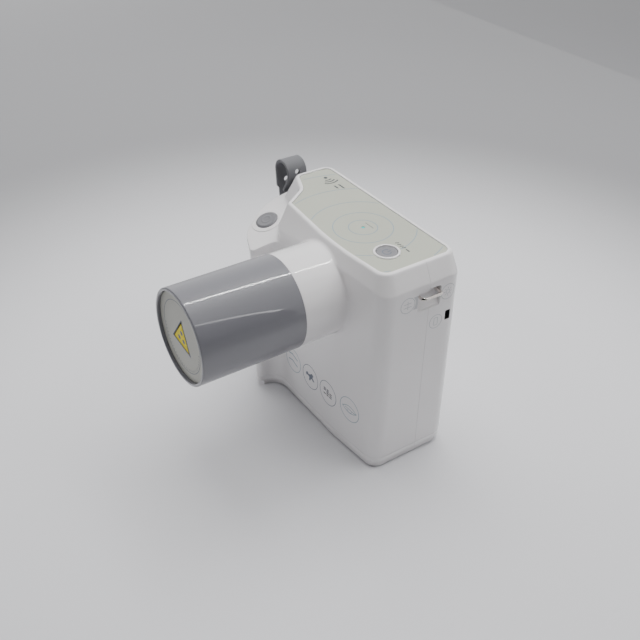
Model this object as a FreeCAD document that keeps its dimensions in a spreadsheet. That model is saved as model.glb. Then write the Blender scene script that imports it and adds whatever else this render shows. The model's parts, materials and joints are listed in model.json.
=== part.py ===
"""Handheld intraoral X-ray unit: camera-shaped body, exit cone to -Y, hand grip at -X.

Frame: +Z up, origin on the underside, straight below the axis of the exit cone.
"""
import FreeCAD, Part
import math
import os
import Sketcher
from FreeCAD import Placement, Rotation, Vector

os.makedirs("parts", exist_ok=True)
doc = FreeCAD.newDocument("HandheldXrayUnit")

# ---------------------------------------------------------------- driving dimensions, mm
DIMENSIONS = (
    ("rim_height", 167.0),         # top rim above the underside
    ("rim_lip", 2.8),              # width of the raised lip round the top panel
    ("panel_drop", 0.7),           # top panel below the lip
    ("panel_thick", 1.2),
    ("roof", 2.5),                 # moulded floor under the top panel
    ("wall", 2.5),                 # casing wall
    ("base_height", 6.0),          # seam between base cover and casing
    ("base_inset", 0.9),
    ("flange", 2.4),               # casing floor flange above the base cover
    ("parting", 19.0),             # plane between front and rear casing
    ("body_right", 66.3),
    ("body_left", -98.5),
    ("body_back", 48.0),
    ("body_front", -24.3),
    ("ramp_height", 147.5),        # grip top above the cone axis plane
    ("ramp_slope", 0.38),
    ("ramp_limit", 152.0),
    ("tube_height", 129.0),        # cone axis
    ("collar_radius", 33.5),
    ("collar_bore", 31.2),
    ("collar_front", -56.8),
    ("cone_radius", 34.0),
    ("cone_length", 77.0),
    ("cone_wall", 2.3),
    ("spigot_radius", 31.15),
    ("spigot_length", 14.0),
    ("window_recess", 2.4),
    ("window_thick", 1.6),
    ("power_x", 35.2),
    ("power_y", 5.2),
    ("power_ring", 9.5),
    ("power_cap", 7.4),
    ("lamp_y", 11.2),
    ("trigger_x", -83.5),
    ("trigger_y", -17.5),
    ("trigger_radius", 8.4),
    ("trigger_rise", 1.5),
    ("trigger_boss", 12.4),        # raised disc round the exposure button
    ("boss_rise", 0.5),
    ("key_pitch", 18.0),
    ("key_radius", 5.0),
    ("key_height", 82.0),
    ("screen_height", 120.0),
    ("window_wide", 74.0),
    ("window_tall", 48.0),
    ("window_glass", 1.5),
    ("display_wide", 60.0),
    ("display_tall", 37.0),
    ("slide_gap", 0.25),           # clearance round a moving button
    ("lug_height", 145.0),
    ("lug_low", 27.0),
    ("lug_reach", 3.4),            # wire bar beyond the casing
    ("lug_wire", 1.1),
    ("lug_span", 18.4),
    ("pocket_depth", 6.0),
    ("strap_width", 17.0),
    ("strap_thick", 2.4),
    ("strap_tongue", 13.2),        # strap width between a lug's legs
    ("port_y", 37.1),
    ("port_height", 121.5),
    ("tripod_x", -14.0),
    ("tripod_y", 12.0),
)
sheet = doc.addObject("Spreadsheet::Sheet", "Dim")
for row, (alias, value) in enumerate(DIMENSIONS, start=1):
    sheet.set("A%d" % row, alias)
    sheet.set("B%d" % row, str(value))
    sheet.setAlias("B%d" % row, alias)
doc.recompute()

nodes = {}


def size(alias):
    """Value of a cell of the sheet."""
    return float(sheet.get(alias))


def node(label, item):
    """Keep item as the sub-part called label."""
    item.Label = label
    nodes[label] = item
    return item


# ---------------------------------------------------------------- outlines
def unit(x, y):
    length = math.hypot(x, y)
    return x / length, y / length


def neighbours(corners, index):
    """Directions into and out of a corner."""
    here = corners[index]
    before = corners[index - 1]
    after = corners[(index + 1) % len(corners)]
    incoming = unit(here[0] - before[0], here[1] - before[1])
    outgoing = unit(after[0] - here[0], after[1] - here[1])
    return incoming, outgoing


def inset(corners, distance):
    """The counter-clockwise outline moved inwards, its arcs kept concentric."""
    moved = []
    for index, (x, y, radius) in enumerate(corners):
        incoming, outgoing = neighbours(corners, index)
        normal_x = -incoming[1] - outgoing[1]
        normal_y = incoming[0] + outgoing[0]
        share = distance / (1.0 + incoming[0] * outgoing[0] + incoming[1] * outgoing[1])
        convex = incoming[0] * outgoing[1] - incoming[1] * outgoing[0] > 0
        new_radius = radius - distance if convex else radius + distance
        moved.append((x + normal_x * share, y + normal_y * share, max(new_radius, 0.4)))
    return moved


def corner_arc(corners, index, z):
    """Start, middle and end of the tangent arc that rounds one corner."""
    x, y, radius = corners[index]
    incoming, outgoing = neighbours(corners, index)
    cosine = incoming[0] * outgoing[0] + incoming[1] * outgoing[1]
    half_turn = math.acos(max(-1.0, min(1.0, cosine))) / 2.0
    reach = radius * math.tan(half_turn)
    inner = unit(outgoing[0] - incoming[0], outgoing[1] - incoming[1])
    depth = radius / math.cos(half_turn) - radius
    start = Vector(x - incoming[0] * reach, y - incoming[1] * reach, z)
    middle = Vector(x + inner[0] * depth, y + inner[1] * depth, z)
    end = Vector(x + outgoing[0] * reach, y + outgoing[1] * reach, z)
    return start, middle, end


def outline(corners, z):
    """Closed wire of straight runs joined by tangent arcs."""
    arcs = [corner_arc(corners, index, z) for index in range(len(corners))]
    edges = []
    for index, arc in enumerate(arcs):
        edges.append(Part.Arc(*arc).toShape())
        edges.append(Part.LineSegment(arc[2], arcs[(index + 1) % len(arcs)][0]).toShape())
    return Part.Wire(edges)


def slab(corners, low, high):
    """Upright prism of an outline."""
    return Part.Face(outline(corners, low)).extrude(Vector(0, 0, high - low))


def block(x0, y0, z0, x1, y1, z1):
    return Part.makeBox(x1 - x0, y1 - y0, z1 - z0, Vector(x0, y0, z0))


def rod(radius, start, end):
    start = Vector(*start)
    along = Vector(*end) - start
    return Part.makeCylinder(radius, along.Length, start, along)


# ---------------------------------------------------------------- casing
RIGHT = size("body_right")
LEFT = size("body_left")
BACK = size("body_back")
FRONT = size("body_front")
RIM = size("rim_height")
WALL = size("wall")
AXIS = size("tube_height")
SLOPE = size("ramp_slope")
TILT = math.atan(SLOPE)

# plan of the upright walls: main block, grip nose at -X and the finger channel between them
PLAN = [
    (RIGHT, -20.0, 12.0), (RIGHT, BACK, 11.0), (LEFT, BACK, 11.0), (LEFT, -20.3, 22.0),
    (-61.7, -45.2, 4.3), (-61.7, FRONT, 12.0), (18.0, FRONT, 60.0),
]
# plan of the base: its nose stands 4.5 mm behind the casing's
BASE_PLAN = [
    (RIGHT, -20.0, 12.0), (RIGHT, BACK, 11.0), (LEFT, BACK, 11.0), (LEFT, -14.9, 22.0),
    (-61.7, -39.8, 1.8), (-61.7, FRONT, 11.5), (18.0, FRONT, 60.0),
]
# top rim, and the same outline 39 mm lower on the sloping walls carried on downwards
RIM_PLAN = [
    (59.5, -15.8, 9.0), (59.5, 45.5, 9.0), (-93.2, 45.5, 8.0), (-93.2, 13.9, 6.0),
    (-70.5, 8.1, 16.0), (-57.5, -14.8, 4.0), (12.0, -23.8, 200.0),
]
FLARE_PLAN = [
    (79.0, -29.0, 24.0), (79.0, 53.0, 18.0), (-109.1, 53.0, 17.0), (-109.1, -2.3, 15.0),
    (-81.9, -6.6, 2.0), (-61.5, -32.5, 16.0), (18.0, -31.0, 200.0),
]
FLARE_DROP = 39.0


def crown(distance):
    """Sloping-walled top of the casing, moved inwards by distance."""
    low = outline(inset(FLARE_PLAN, distance), RIM - FLARE_DROP)
    high = outline(inset(RIM_PLAN, distance), RIM)
    return Part.makeLoft([low, high], True, True)


def grip_block(drop):
    """Everything below the grip's sloping top, lowered by drop."""
    limit = size("ramp_limit") - drop
    level = size("ramp_height") - drop / math.cos(TILT)
    front = -60.0
    knee = (limit - level) / SLOPE
    profile = [
        Vector(-130, front, 0), Vector(-130, front, level + SLOPE * front),
        Vector(-130, knee, limit), Vector(-130, 70, limit), Vector(-130, 70, 0),
    ]
    return Part.Face(Part.makePolygon(profile + profile[:1])).extrude(Vector(260, 0, 0))


def casing_solid(distance, floor, ceiling):
    """Solid of the casing, moved inwards by distance between two heights."""
    plan = slab(inset(PLAN, distance) if distance else PLAN, floor, ceiling)
    return plan.common(crown(distance).fuse(grip_block(distance)))


def round_edges(shape, radius, wanted):
    """Fillet the edges whose middle point satisfies wanted."""
    chosen = []
    for edge in shape.Edges:
        middle = edge.valueAt((edge.FirstParameter + edge.LastParameter) / 2.0)
        if wanted(edge, middle):
            chosen.append(edge)
    return shape.makeFillet(radius, chosen) if chosen else shape


def trigger_point(height):
    """Point on the exposure button's axis, height above the grip's top."""
    y = size("trigger_y")
    base = Vector(size("trigger_x"), y, size("ramp_height") + SLOPE * y)
    return base + Vector(0, -math.sin(TILT), math.cos(TILT)) * height


BASE = size("base_height")
PART_Y = size("parting")
RAMP_LEVEL = size("ramp_height")


def on_wall(point):
    """Whether a point lies on the upright walls of the plan."""
    flat = Part.Vertex(point.x, point.y, 0)
    return outline(PLAN, 0).distToShape(flat)[0] < 0.05


def grip_edge(edge, middle):
    above = middle.z - RAMP_LEVEL - SLOPE * middle.y
    return abs(above) < 0.3 and middle.z < 151.9 and on_wall(middle)


def lug_places():
    """Height and side (+1 right, -1 left) of each strap lug."""
    return (("right", size("lug_height"), 1), ("left", size("lug_height"), -1),
            ("lower", size("lug_low"), -1))


def face_x(side):
    return RIGHT if side > 0 else LEFT


POCKET_WIDE = 18.8
POCKET_TALL = 15.0
POCKET_DROP = 3.5                      # pocket centre below the wire


def pocket_space(side, height, margin):
    """Block that a lug pocket takes out of the casing, grown by margin."""
    surface = face_x(side)
    inner = surface - side * (size("pocket_depth") + margin)
    outer_x = surface + side * 5.0
    middle = height - POCKET_DROP
    return block(min(inner, outer_x), PART_Y - POCKET_WIDE / 2 - margin,
                 middle - POCKET_TALL / 2 - margin, max(inner, outer_x),
                 PART_Y + POCKET_WIDE / 2 + margin, middle + POCKET_TALL / 2 + margin)


# ---- outside of the casing, with the collar that carries the cone
outer = casing_solid(0.0, BASE, RIM)
outer = round_edges(outer, 2.5, grip_edge)
BOSS_ROOT = 6.0                        # how far the raised disc reaches down into the grip
boss = Part.makeCylinder(size("trigger_boss"), BOSS_ROOT + size("boss_rise"),
                         trigger_point(-BOSS_ROOT), trigger_point(1.0) - trigger_point(0.0))
outer = outer.fuse(boss.common(slab(inset(PLAN, 0.6), BASE, RIM)))
collar = rod(size("collar_radius"), (0, -10, AXIS), (0, size("collar_front"), AXIS))
outer = outer.fuse(collar)

# ---- hollow of the casing
ceiling = RIM - size("panel_drop") - size("panel_thick") - size("roof")
FLOOR = BASE + size("flange")
cavity = casing_solid(WALL, FLOOR, RIM).common(block(-120, -70, 0, 90, 70, ceiling))
flange_hole = slab([(44, -10, 6.0), (44, 30, 6.0), (-72, 30, 6.0), (-72, -8, 6.0)],
                   BASE - 1, FLOOR + 1)
bore = rod(size("collar_bore"), (0, -15, AXIS), (0, size("collar_front") - 1, AXIS))
panel_floor = RIM - size("panel_drop") - size("panel_thick")
panel_recess = slab(inset(RIM_PLAN, size("rim_lip")), panel_floor, RIM + 1)

# ---- bosses for the screws
REAR_SCREWS = [(57.0, 30.0), (57.0, 102.0), (-90.0, 62.0), (-90.0, 108.0)]
BASE_SCREWS = [(52.0, -10.0), (52.0, 37.0), (-80.0, -12.0), (-82.0, 37.0)]
BOSS = 4.0                             # radius of a screw boss
THREAD = 1.5                           # radius of the hole a screw cuts its thread in
SHANK = 1.45
CLEAR = 1.8                            # radius of a screw's clearance hole
HEAD_SEAT = 3.3                        # radius of the counterbore for its head
REAR_HEAD_DEPTH = 5.0
BASE_HEAD_DEPTH = 2.6
rear_boss = [rod(BOSS, (x, -30, z), (x, BACK - 1, z)) for x, z in REAR_SCREWS]
base_boss = [rod(BOSS, (x, y, BASE), (x, y, 20)) for x, y in BASE_SCREWS]
rear_hole = [rod(THREAD, (x, -8, z), (x, PART_Y, z)) for x, z in REAR_SCREWS]
rear_hole += [rod(CLEAR, (x, PART_Y, z), (x, BACK + 1, z)) for x, z in REAR_SCREWS]
rear_hole += [rod(HEAD_SEAT, (x, BACK - REAR_HEAD_DEPTH, z), (x, BACK + 1, z))
              for x, z in REAR_SCREWS]
base_hole = [rod(THREAD, (x, y, BASE - 1), (x, y, 18)) for x, y in BASE_SCREWS]
solid_bosses = rear_boss[0].multiFuse(rear_boss[1:] + base_boss).common(outer)

# ---- openings for the controls, the screen, the port and the lugs
GAP = size("slide_gap")
POWER = Vector(size("power_x"), size("power_y"), 0)
SCREEN_Z = size("screen_height")
KEY_Z = size("key_height")
PITCH = size("key_pitch")
KEY_X = [PITCH * (step - 1.5) for step in range(4)]
tilted = trigger_point(1.0) - trigger_point(0.0)
DISPLAY_X = size("display_wide") / 2 + 1.0
DISPLAY_Z = size("display_tall") / 2 + 0.5
WINDOW_GAP = 0.2
WINDOW_X = size("window_wide") / 2 + WINDOW_GAP
WINDOW_Z = size("window_tall") / 2 + WINDOW_GAP
WINDOW_SEAT = size("window_glass") + WINDOW_GAP
LENS_HOLE = 1.4
openings = [
    Part.makeCylinder(size("trigger_radius") + GAP, 20, trigger_point(-10.0), tilted),
    Part.makeCylinder(size("trigger_radius") + 1.1, 9.3, trigger_point(-12.0), tilted),
    rod(size("power_cap") + GAP, (POWER.x, POWER.y, ceiling - 2), (POWER.x, POWER.y, RIM + 1)),
    rod(LENS_HOLE, (0, size("lamp_y"), ceiling - 2), (0, size("lamp_y"), RIM + 1)),
    block(-DISPLAY_X, BACK - 10, SCREEN_Z - DISPLAY_Z, DISPLAY_X, BACK + 1, SCREEN_Z + DISPLAY_Z),
    block(-WINDOW_X, BACK - WINDOW_SEAT, SCREEN_Z - WINDOW_Z, WINDOW_X, BACK + 1, SCREEN_Z + WINDOW_Z),
]
openings += [rod(size("key_radius") + GAP, (x, BACK - 10, KEY_Z), (x, BACK + 1, KEY_Z))
             for x in KEY_X]
PORT_Y = size("port_y")
PORT_Z = size("port_height")
PORT_HALF_Y = 2.3
PORT_HALF_Z = 4.1
openings.append(block(RIGHT - 10, PORT_Y - PORT_HALF_Y, PORT_Z - PORT_HALF_Z,
                      RIGHT + 1, PORT_Y + PORT_HALF_Y, PORT_Z + PORT_HALF_Z))
openings += [pocket_space(side, height, 1.2) for name, height, side in lug_places()]

shell = outer.cut(cavity).fuse(solid_bosses)
shell = shell.cut([flange_hole, bore, panel_recess] + rear_hole + base_hole + openings)
front_half = block(-130, -90, -1, 90, PART_Y, 200)
rear_half = block(-130, PART_Y, -1, 90, 90, 200)
node("front_shell", doc.addObject("Part::Feature", "FrontShell")).Shape = shell.common(front_half)
node("rear_shell", doc.addObject("Part::Feature", "RearShell")).Shape = shell.common(rear_half)


# ---------------------------------------------------------------- parametric building blocks
def bind(item, prop, formula):
    """Set a length from the sheet when formula is text, or directly when it is a number."""
    if isinstance(formula, str):
        item.setExpression(prop, formula)
    elif "." in prop:
        item.setExpression(prop, repr(float(formula)))
    else:
        setattr(item, prop, formula)


def place(item, at, direction=(0, 0, 1)):
    """Put item at a point, its own Z turned to direction."""
    turn = Rotation(Vector(0, 0, 1), Vector(*direction))
    item.Placement = Placement(Vector(0, 0, 0), turn)
    for axis, value in zip("xyz", at):
        bind(item, "Placement.Base." + axis, value)
    return item


def cylinder(radius, height, at, direction=(0, 0, 1)):
    item = doc.addObject("Part::Cylinder", "Cylinder")
    bind(item, "Radius", radius)
    bind(item, "Height", height)
    return place(item, at, direction)


def box(length, width, height, at):
    item = doc.addObject("Part::Box", "Box")
    bind(item, "Length", length)
    bind(item, "Width", width)
    bind(item, "Height", height)
    return place(item, at)


def fuse(*items):
    item = doc.addObject("Part::MultiFuse", "Fusion")
    item.Shapes = list(items)
    return item


def cut(base, *tools):
    item = doc.addObject("Part::Cut", "Cut")
    item.Base = base
    item.Tool = tools[0] if len(tools) == 1 else fuse(*tools)
    return item


def group(*items):
    """Separate solids kept together, for identical pieces."""
    item = doc.addObject("Part::Compound", "Group")
    item.Links = list(items)
    return item


def solid(shape):
    item = doc.addObject("Part::Feature", "Solid")
    item.Shape = shape
    return item


def pad(label, radius, length, at, direction=(0, 0, 1), hole=None):
    """Round padded plate, with an optional round hole through its middle."""
    body = doc.addObject("PartDesign::Body", label)
    origin_plane = [plane for plane in body.Origin.OriginFeatures if plane.Role == "XY_Plane"][0]
    sketch = body.newObject("Sketcher::SketchObject", label + "_outline")
    sketch.AttachmentSupport = [(origin_plane, "")]
    sketch.MapMode = "FlatFace"
    for index, value in enumerate([radius] if hole is None else [radius, hole]):
        sketch.addGeometry(Part.Circle(Vector(0, 0, 0), Vector(0, 0, 1), 5.0 + index), False)
        sketch.addConstraint(Sketcher.Constraint("Coincident", index, 3, -1, 1))
        fixed = sketch.addConstraint(Sketcher.Constraint("Radius", index, 5.0 + index))
        sketch.setExpression("Constraints[%d]" % fixed, str(value))
    feature = body.newObject("PartDesign::Pad", label + "_pad")
    feature.Profile = sketch
    bind(feature, "Length", length)
    return place(body, at, direction)


FORWARD = (0, -1, 0)
BACKWARD = (0, 1, 0)

# ---------------------------------------------------------------- base
base_outer = slab(inset(BASE_PLAN, size("base_inset")), 0, BASE - 0.01)
base_rib = slab([(41, -8, 5), (41, 28, 5), (-69, 28, 5), (-69, -6, 5)], BASE - 0.01, FLOOR + 1.5)
base_hollow = slab([(39, -6, 4), (39, 26, 4), (-67, 26, 4), (-67, -4, 4)], 3.0, FLOOR + 3)
FEET = [(38.0, -12.0), (38.0, 36.0), (-66.0, -12.0), (-66.0, 36.0)]
FOOT_RADIUS = 5.0
FOOT_THICK = 1.5
TRIPOD = ("Dim.tripod_x", "Dim.tripod_y")
base_screw_holes = [rod(CLEAR, (x, y, -1), (x, y, BASE + 1)) for x, y in BASE_SCREWS]
base_screw_holes += [rod(HEAD_SEAT, (x, y, -1), (x, y, BASE_HEAD_DEPTH)) for x, y in BASE_SCREWS]
foot_seats = [rod(FOOT_RADIUS, (x, y, -1), (x, y, FOOT_THICK)) for x, y in FEET]
BUSH_RADIUS = 6.5
BUSH_LENGTH = 9.5
BUSH_THREAD = 3.175                    # quarter-inch tripod thread
bush_foot = (size("tripod_x"), size("tripod_y"))
tripod_seat = rod(BUSH_RADIUS, bush_foot + (-1,), bush_foot + (BUSH_LENGTH + 0.5,))
base_plate = base_outer.fuse(base_rib).cut([base_hollow] + base_screw_holes + foot_seats)
tripod_pad = rod(BUSH_RADIUS + 3, bush_foot + (2,), bush_foot + (BUSH_LENGTH,))
base_plate = base_plate.fuse(tripod_pad).cut(tripod_seat)
node("base_cover", solid(base_plate))
node("base_feet", group(*[pad("Foot", FOOT_RADIUS, FOOT_THICK, (x, y, 0)) for x, y in FEET]))
node("tripod_bush", pad("TripodBush", BUSH_RADIUS, BUSH_LENGTH, TRIPOD + (0,), hole=BUSH_THREAD))


def screw(x, y, z, length, direction, head=2.9):
    """Pan-head screw, its head's outer face at the point and its shank along direction."""
    along = Vector(*direction)
    start = Vector(x, y, z)
    shape = Part.makeCylinder(head, 1.9, start, along)
    shape = shape.fuse(Part.makeCylinder(SHANK, length, start, along))
    drive = Part.makeCylinder(0.6, 1.2, start, along)
    for turn in (0, 90):
        bar = Part.makeBox(3.2, 0.7, 1.2, Vector(-1.6, -0.35, 0))
        bar.Placement = Placement(start, Rotation(Vector(0, 0, 1), along)).multiply(
            Placement(Vector(0, 0, 0), Rotation(Vector(0, 0, 1), turn)))
        drive = drive.fuse(bar)
    return shape.cut(drive)


node("base_screws", solid(Part.makeCompound(
    [screw(x, y, 0.6, 14.0, (0, 0, 1)) for x, y in BASE_SCREWS])))
node("rear_screws", solid(Part.makeCompound(
    [screw(x, BACK - 3.0, z, 40.0, FORWARD) for x, z in REAR_SCREWS])))

# ---------------------------------------------------------------- top panel
panel_shape = slab(inset(RIM_PLAN, size("rim_lip") + 0.1), panel_floor, RIM - size("panel_drop"))
panel_shape = panel_shape.cut([
    rod(size("power_ring"), (POWER.x, POWER.y, panel_floor - 1), (POWER.x, POWER.y, RIM)),
    rod(LENS_HOLE, (0, size("lamp_y"), panel_floor - 1), (0, size("lamp_y"), RIM)),
])
node("top_panel", solid(panel_shape))
PANEL_FLOOR = "Dim.rim_height - Dim.panel_drop - Dim.panel_thick"
node("power_ring", pad("PowerRing", "Dim.power_ring - 0.05", "Dim.panel_thick + 0.9",
                       ("Dim.power_x", "Dim.power_y", PANEL_FLOOR),
                       hole="Dim.power_cap + Dim.slide_gap"))
node("status_lens", pad("StatusLens", 1.3, "Dim.panel_thick + Dim.roof + 0.5",
                        (0, "Dim.lamp_y", "Dim.rim_height - Dim.panel_drop - Dim.panel_thick"
                         " - Dim.roof - 0.4")))
UNDER_ROOF = "Dim.rim_height - Dim.panel_drop - Dim.panel_thick - Dim.roof"
node("power_button", fuse(
    cylinder("Dim.power_cap", "Dim.panel_thick + Dim.roof + 0.4",
             ("Dim.power_x", "Dim.power_y", UNDER_ROOF + " - 0.1")),
    cylinder("Dim.power_cap + 1.2", 1.4, ("Dim.power_x", "Dim.power_y", UNDER_ROOF + " - 1.5")),
    cylinder(1.6, 2.0, ("Dim.power_x", "Dim.power_y", UNDER_ROOF + " - 2.7"))))
SWITCH_TOP = UNDER_ROOF + " - 3.6"
node("power_switch", box(6, 6, 2.6, ("Dim.power_x - 3", "Dim.power_y - 3", SWITCH_TOP + " - 2.6")))
node("panel_board", cut(
    box(62, 26, 1.6, (-8, -6, SWITCH_TOP + " - 4.2")),
    cylinder(1.6, 4, (-4, -2, SWITCH_TOP + " - 5"))))
node("status_led", box(3, 3, 1.6, (-1.5, "Dim.lamp_y - 1.5", SWITCH_TOP + " - 2.6")))

# ---------------------------------------------------------------- exposure button in the grip

def on_trigger(radius, low, high):
    return Part.makeCylinder(radius, high - low, trigger_point(low), tilted)


TRIGGER_R = size("trigger_radius")
cap = on_trigger(TRIGGER_R, -2.6, size("trigger_rise"))
cap = round_edges(cap, 0.9, lambda edge, middle: edge.Curve.TypeId == "Part::GeomCircle"
                  and (edge.Curve.Center - trigger_point(size("trigger_rise"))).Length < 0.01)
trigger = cap.fuse(on_trigger(TRIGGER_R + 0.7, -4.4, -3.0)).fuse(on_trigger(TRIGGER_R, -3.0, -2.6))
trigger = trigger.fuse(on_trigger(2.0, -6.2, -4.4))
node("exposure_button", solid(trigger))
switch_body = Part.makeBox(8, 8, 4.5, Vector(-4, -4, 0))
switch_body.Placement = Placement(trigger_point(-12.3), Rotation(Vector(0, 0, 1), tilted))
node("exposure_switch", solid(switch_body))
grip_board = Part.makeBox(13, 13, 1.6, Vector(-6.5, -6.5, 0))
grip_board.Placement = Placement(trigger_point(-13.9), Rotation(Vector(0, 0, 1), tilted))
node("grip_board", solid(grip_board))

# ---------------------------------------------------------------- exit cone and beam path
CONE_BACK = "Dim.collar_front"
cone_tube = cut(
    fuse(cylinder("Dim.cone_radius", "Dim.cone_length", (0, CONE_BACK, "Dim.tube_height"), FORWARD),
         cylinder("Dim.spigot_radius", "Dim.spigot_length + 1",
                  (0, "Dim.collar_front - 1", "Dim.tube_height"), BACKWARD)),
    cylinder("Dim.cone_radius - Dim.cone_wall", "Dim.cone_length",
             (0, "Dim.collar_front - 4", "Dim.tube_height"), FORWARD),
    cylinder("Dim.spigot_radius - 2.2", "Dim.spigot_length + 8",
             (0, "Dim.collar_front - 5", "Dim.tube_height"), BACKWARD))
rounded_cone = doc.addObject("Part::Fillet", "ConeLip")
doc.recompute()
rounded_cone.Base = cone_tube
cone_end = size("collar_front") - size("cone_length")
lip = [index for index, edge in enumerate(cone_tube.Shape.Edges, start=1)
       if edge.Curve.TypeId == "Part::GeomCircle" and abs(edge.Curve.Center.y - cone_end) < 0.01]
rounded_cone.Edges = [(index, 0.8, 0.8) for index in lip]
node("exit_cone", rounded_cone)
node("exit_window", pad("ExitWindow", "Dim.cone_radius - Dim.cone_wall - 0.1", "Dim.window_thick",
                        (0, "Dim.collar_front - Dim.cone_length + Dim.window_recess",
                         "Dim.tube_height"), BACKWARD))
WINDOW_BACK = "Dim.collar_front - Dim.cone_length + Dim.window_recess + Dim.window_thick"
node("lead_liner", pad("LeadLiner", "Dim.cone_radius - Dim.cone_wall - 0.2", "Dim.cone_length - 8.4",
                       (0, WINDOW_BACK, "Dim.tube_height"), BACKWARD,
                       hole="Dim.cone_radius - Dim.cone_wall - 1.2"))
TANK_FRONT = -16.0
node("beam_flange", pad("BeamFlange", 30.0, 3.0, (0, TANK_FRONT, "Dim.tube_height"), FORWARD, hole=14.0))
node("filter_disc", pad("FilterDisc", 13.9, 2.0, (0, TANK_FRONT, "Dim.tube_height"), FORWARD))
node("collimator", pad("Collimator", 24.0, 2.0, (0, TANK_FRONT - 3.0, "Dim.tube_height"), FORWARD,
                       hole=9.0))

# ---------------------------------------------------------------- X-ray tank and its insert
TANK = (39.0, TANK_FRONT, 34.0, 84.0, 151.0)      # half width, front, back, bottom, top
tank_length = 2 * TANK[0]
tank_depth = TANK[2] - TANK[1]
tank_tall = TANK[4] - TANK[3]
node("tank_body", cut(
    box(tank_length, tank_depth - 3, tank_tall, (-TANK[0], TANK[1], TANK[3])),
    box(tank_length - 6, tank_depth, tank_tall - 6, (-TANK[0] + 3, TANK[1] + 3, TANK[3] + 3)),
    cylinder(14.0, 10, (0, TANK[1] + 5, "Dim.tube_height"), FORWARD)))
node("tank_lid", box(tank_length, 3, tank_tall, (-TANK[0], TANK[2] - 3, TANK[3])))
TUBE_Y = 6.0
glass_length = 56.0
node("tube_glass", cut(
    cylinder(13.5, glass_length, (-glass_length / 2, TUBE_Y, "Dim.tube_height"), (1, 0, 0)),
    cylinder(12.0, glass_length + 2, (-glass_length / 2 - 1, TUBE_Y, "Dim.tube_height"), (1, 0, 0))))
anode = rod(11.9, (28, TUBE_Y, AXIS), (5, TUBE_Y, AXIS))
wedge = Part.makeBox(40, 60, 60, Vector(-40, -30, -30))
wedge.Placement = Placement(Vector(10, TUBE_Y, AXIS), Rotation(Vector(0, 0, 1), 20))
node("anode", solid(anode.cut(wedge)))
node("cathode_cup", cut(
    fuse(cylinder(11.9, 3.0, (-28, TUBE_Y, "Dim.tube_height"), (1, 0, 0)),
         cylinder(7.0, 18.0, (-26, TUBE_Y, "Dim.tube_height"), (1, 0, 0))),
    cylinder(4.0, 6.0, (-12, TUBE_Y, "Dim.tube_height"), (1, 0, 0))))
CORE_Z = 98.0
node("transformer_core", cut(box(44, 12, 18, (-22, 8, CORE_Z - 9)), box(24, 14, 8, (-12, 7, CORE_Z - 4))))
node("transformer_coils", group(*[
    cut(box(15, 17, 7.6, (x - 7.5, 5.5, CORE_Z - 3.8)), box(10.2, 12.2, 9, (x - 5.1, 7.9, CORE_Z - 4.5)))
    for x in (-17, 17)]))
CELLS = [-33.0, -12.0, 9.0, 30.0]
CELL_Y = 16.0
CELL_R = 9.2
node("battery_cells", group(*[cylinder(CELL_R, 65, (x, CELL_Y, 12.2)) for x in CELLS]))
node("battery_cradle", cut(
    box(86, 23, 26, (-44.5, CELL_Y - 11.5, 10.2)),
    *[cylinder(CELL_R + 0.1, 65, (x, CELL_Y, 12.2)) for x in CELLS]))
BOARD_Y = 33.0
node("main_board", box(100, 1.6, 46, (-50, BOARD_Y, 21)))
node("board_chips", group(*[
    box(length, 1.8, height, (x, BOARD_Y - 1.8, z))
    for x, z, length, height in ((-38, 50, 14, 10), (-8, 44, 10, 10), (20, 52, 16, 6), (24, 28, 8, 12))]))
node("buzzer", cylinder(6.0, 4.5, (-36, BOARD_Y, 26), FORWARD))
POSTS = [(-46, 25), (46, 25), (-46, 62), (46, 62)]
node("board_posts", group(*[
    cylinder(2.5, "Dim.body_back - Dim.wall - %s" % (BOARD_Y + 1.6), (x, BOARD_Y + 1.6, z), BACKWARD)
    for x, z in POSTS]))

# ---------------------------------------------------------------- screen and keys on the back
node("screen_window", box("Dim.window_wide", "Dim.window_glass", "Dim.window_tall",
                          ("-Dim.window_wide / 2", "Dim.body_back - Dim.window_glass - 0.1",
                           "Dim.screen_height - Dim.window_tall / 2")))
node("screen_module", box("Dim.display_wide", 6, "Dim.display_tall",
                          ("-Dim.display_wide / 2", "Dim.body_back - 7.7",
                           "Dim.screen_height - Dim.display_tall / 2")))
node("key_board", box(74, 1.6, 14, (-37, "Dim.body_back - 8.6", "Dim.key_height - 7")))
node("key_domes", group(*[
    cylinder(2.5, 0.8, (x, "Dim.body_back - 7.0", "Dim.key_height"), BACKWARD) for x in KEY_X]))
KEY_NAMES = ("key_down", "key_menu", "key_set", "key_up")
for name, x in zip(KEY_NAMES, KEY_X):
    node(name, fuse(
        cylinder("Dim.key_radius", "Dim.wall + 1.2", (x, "Dim.body_back - Dim.wall - 0.2", "Dim.key_height"),
                 BACKWARD),
        cylinder("Dim.key_radius + 1", 1.2, (x, "Dim.body_back - Dim.wall - 1.4", "Dim.key_height"),
                 BACKWARD),
        cylinder(1.5, 1.6, (x, "Dim.body_back - Dim.wall - 2.6", "Dim.key_height"), BACKWARD)))

# ---------------------------------------------------------------- charging port
node("charge_port", cut(
    box(9, 4.0, 7.7, ("Dim.body_right - 14", "Dim.port_y - 2.0", "Dim.port_height - 3.85")),
    box(6, 3.2, 6.9, ("Dim.body_right - 10.5", "Dim.port_y - 1.6", "Dim.port_height - 3.45"))))
node("charge_board", box(18, 1.6, 20, ("Dim.body_right - 24", "Dim.port_y - 3.7", "Dim.port_height - 10")))

# ---------------------------------------------------------------- strap lugs, pockets and strap
WIRE = size("lug_wire")
HALF_SPAN = size("lug_span") / 2 - WIRE
REACH = size("lug_reach")
DEPTH = size("pocket_depth")


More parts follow.
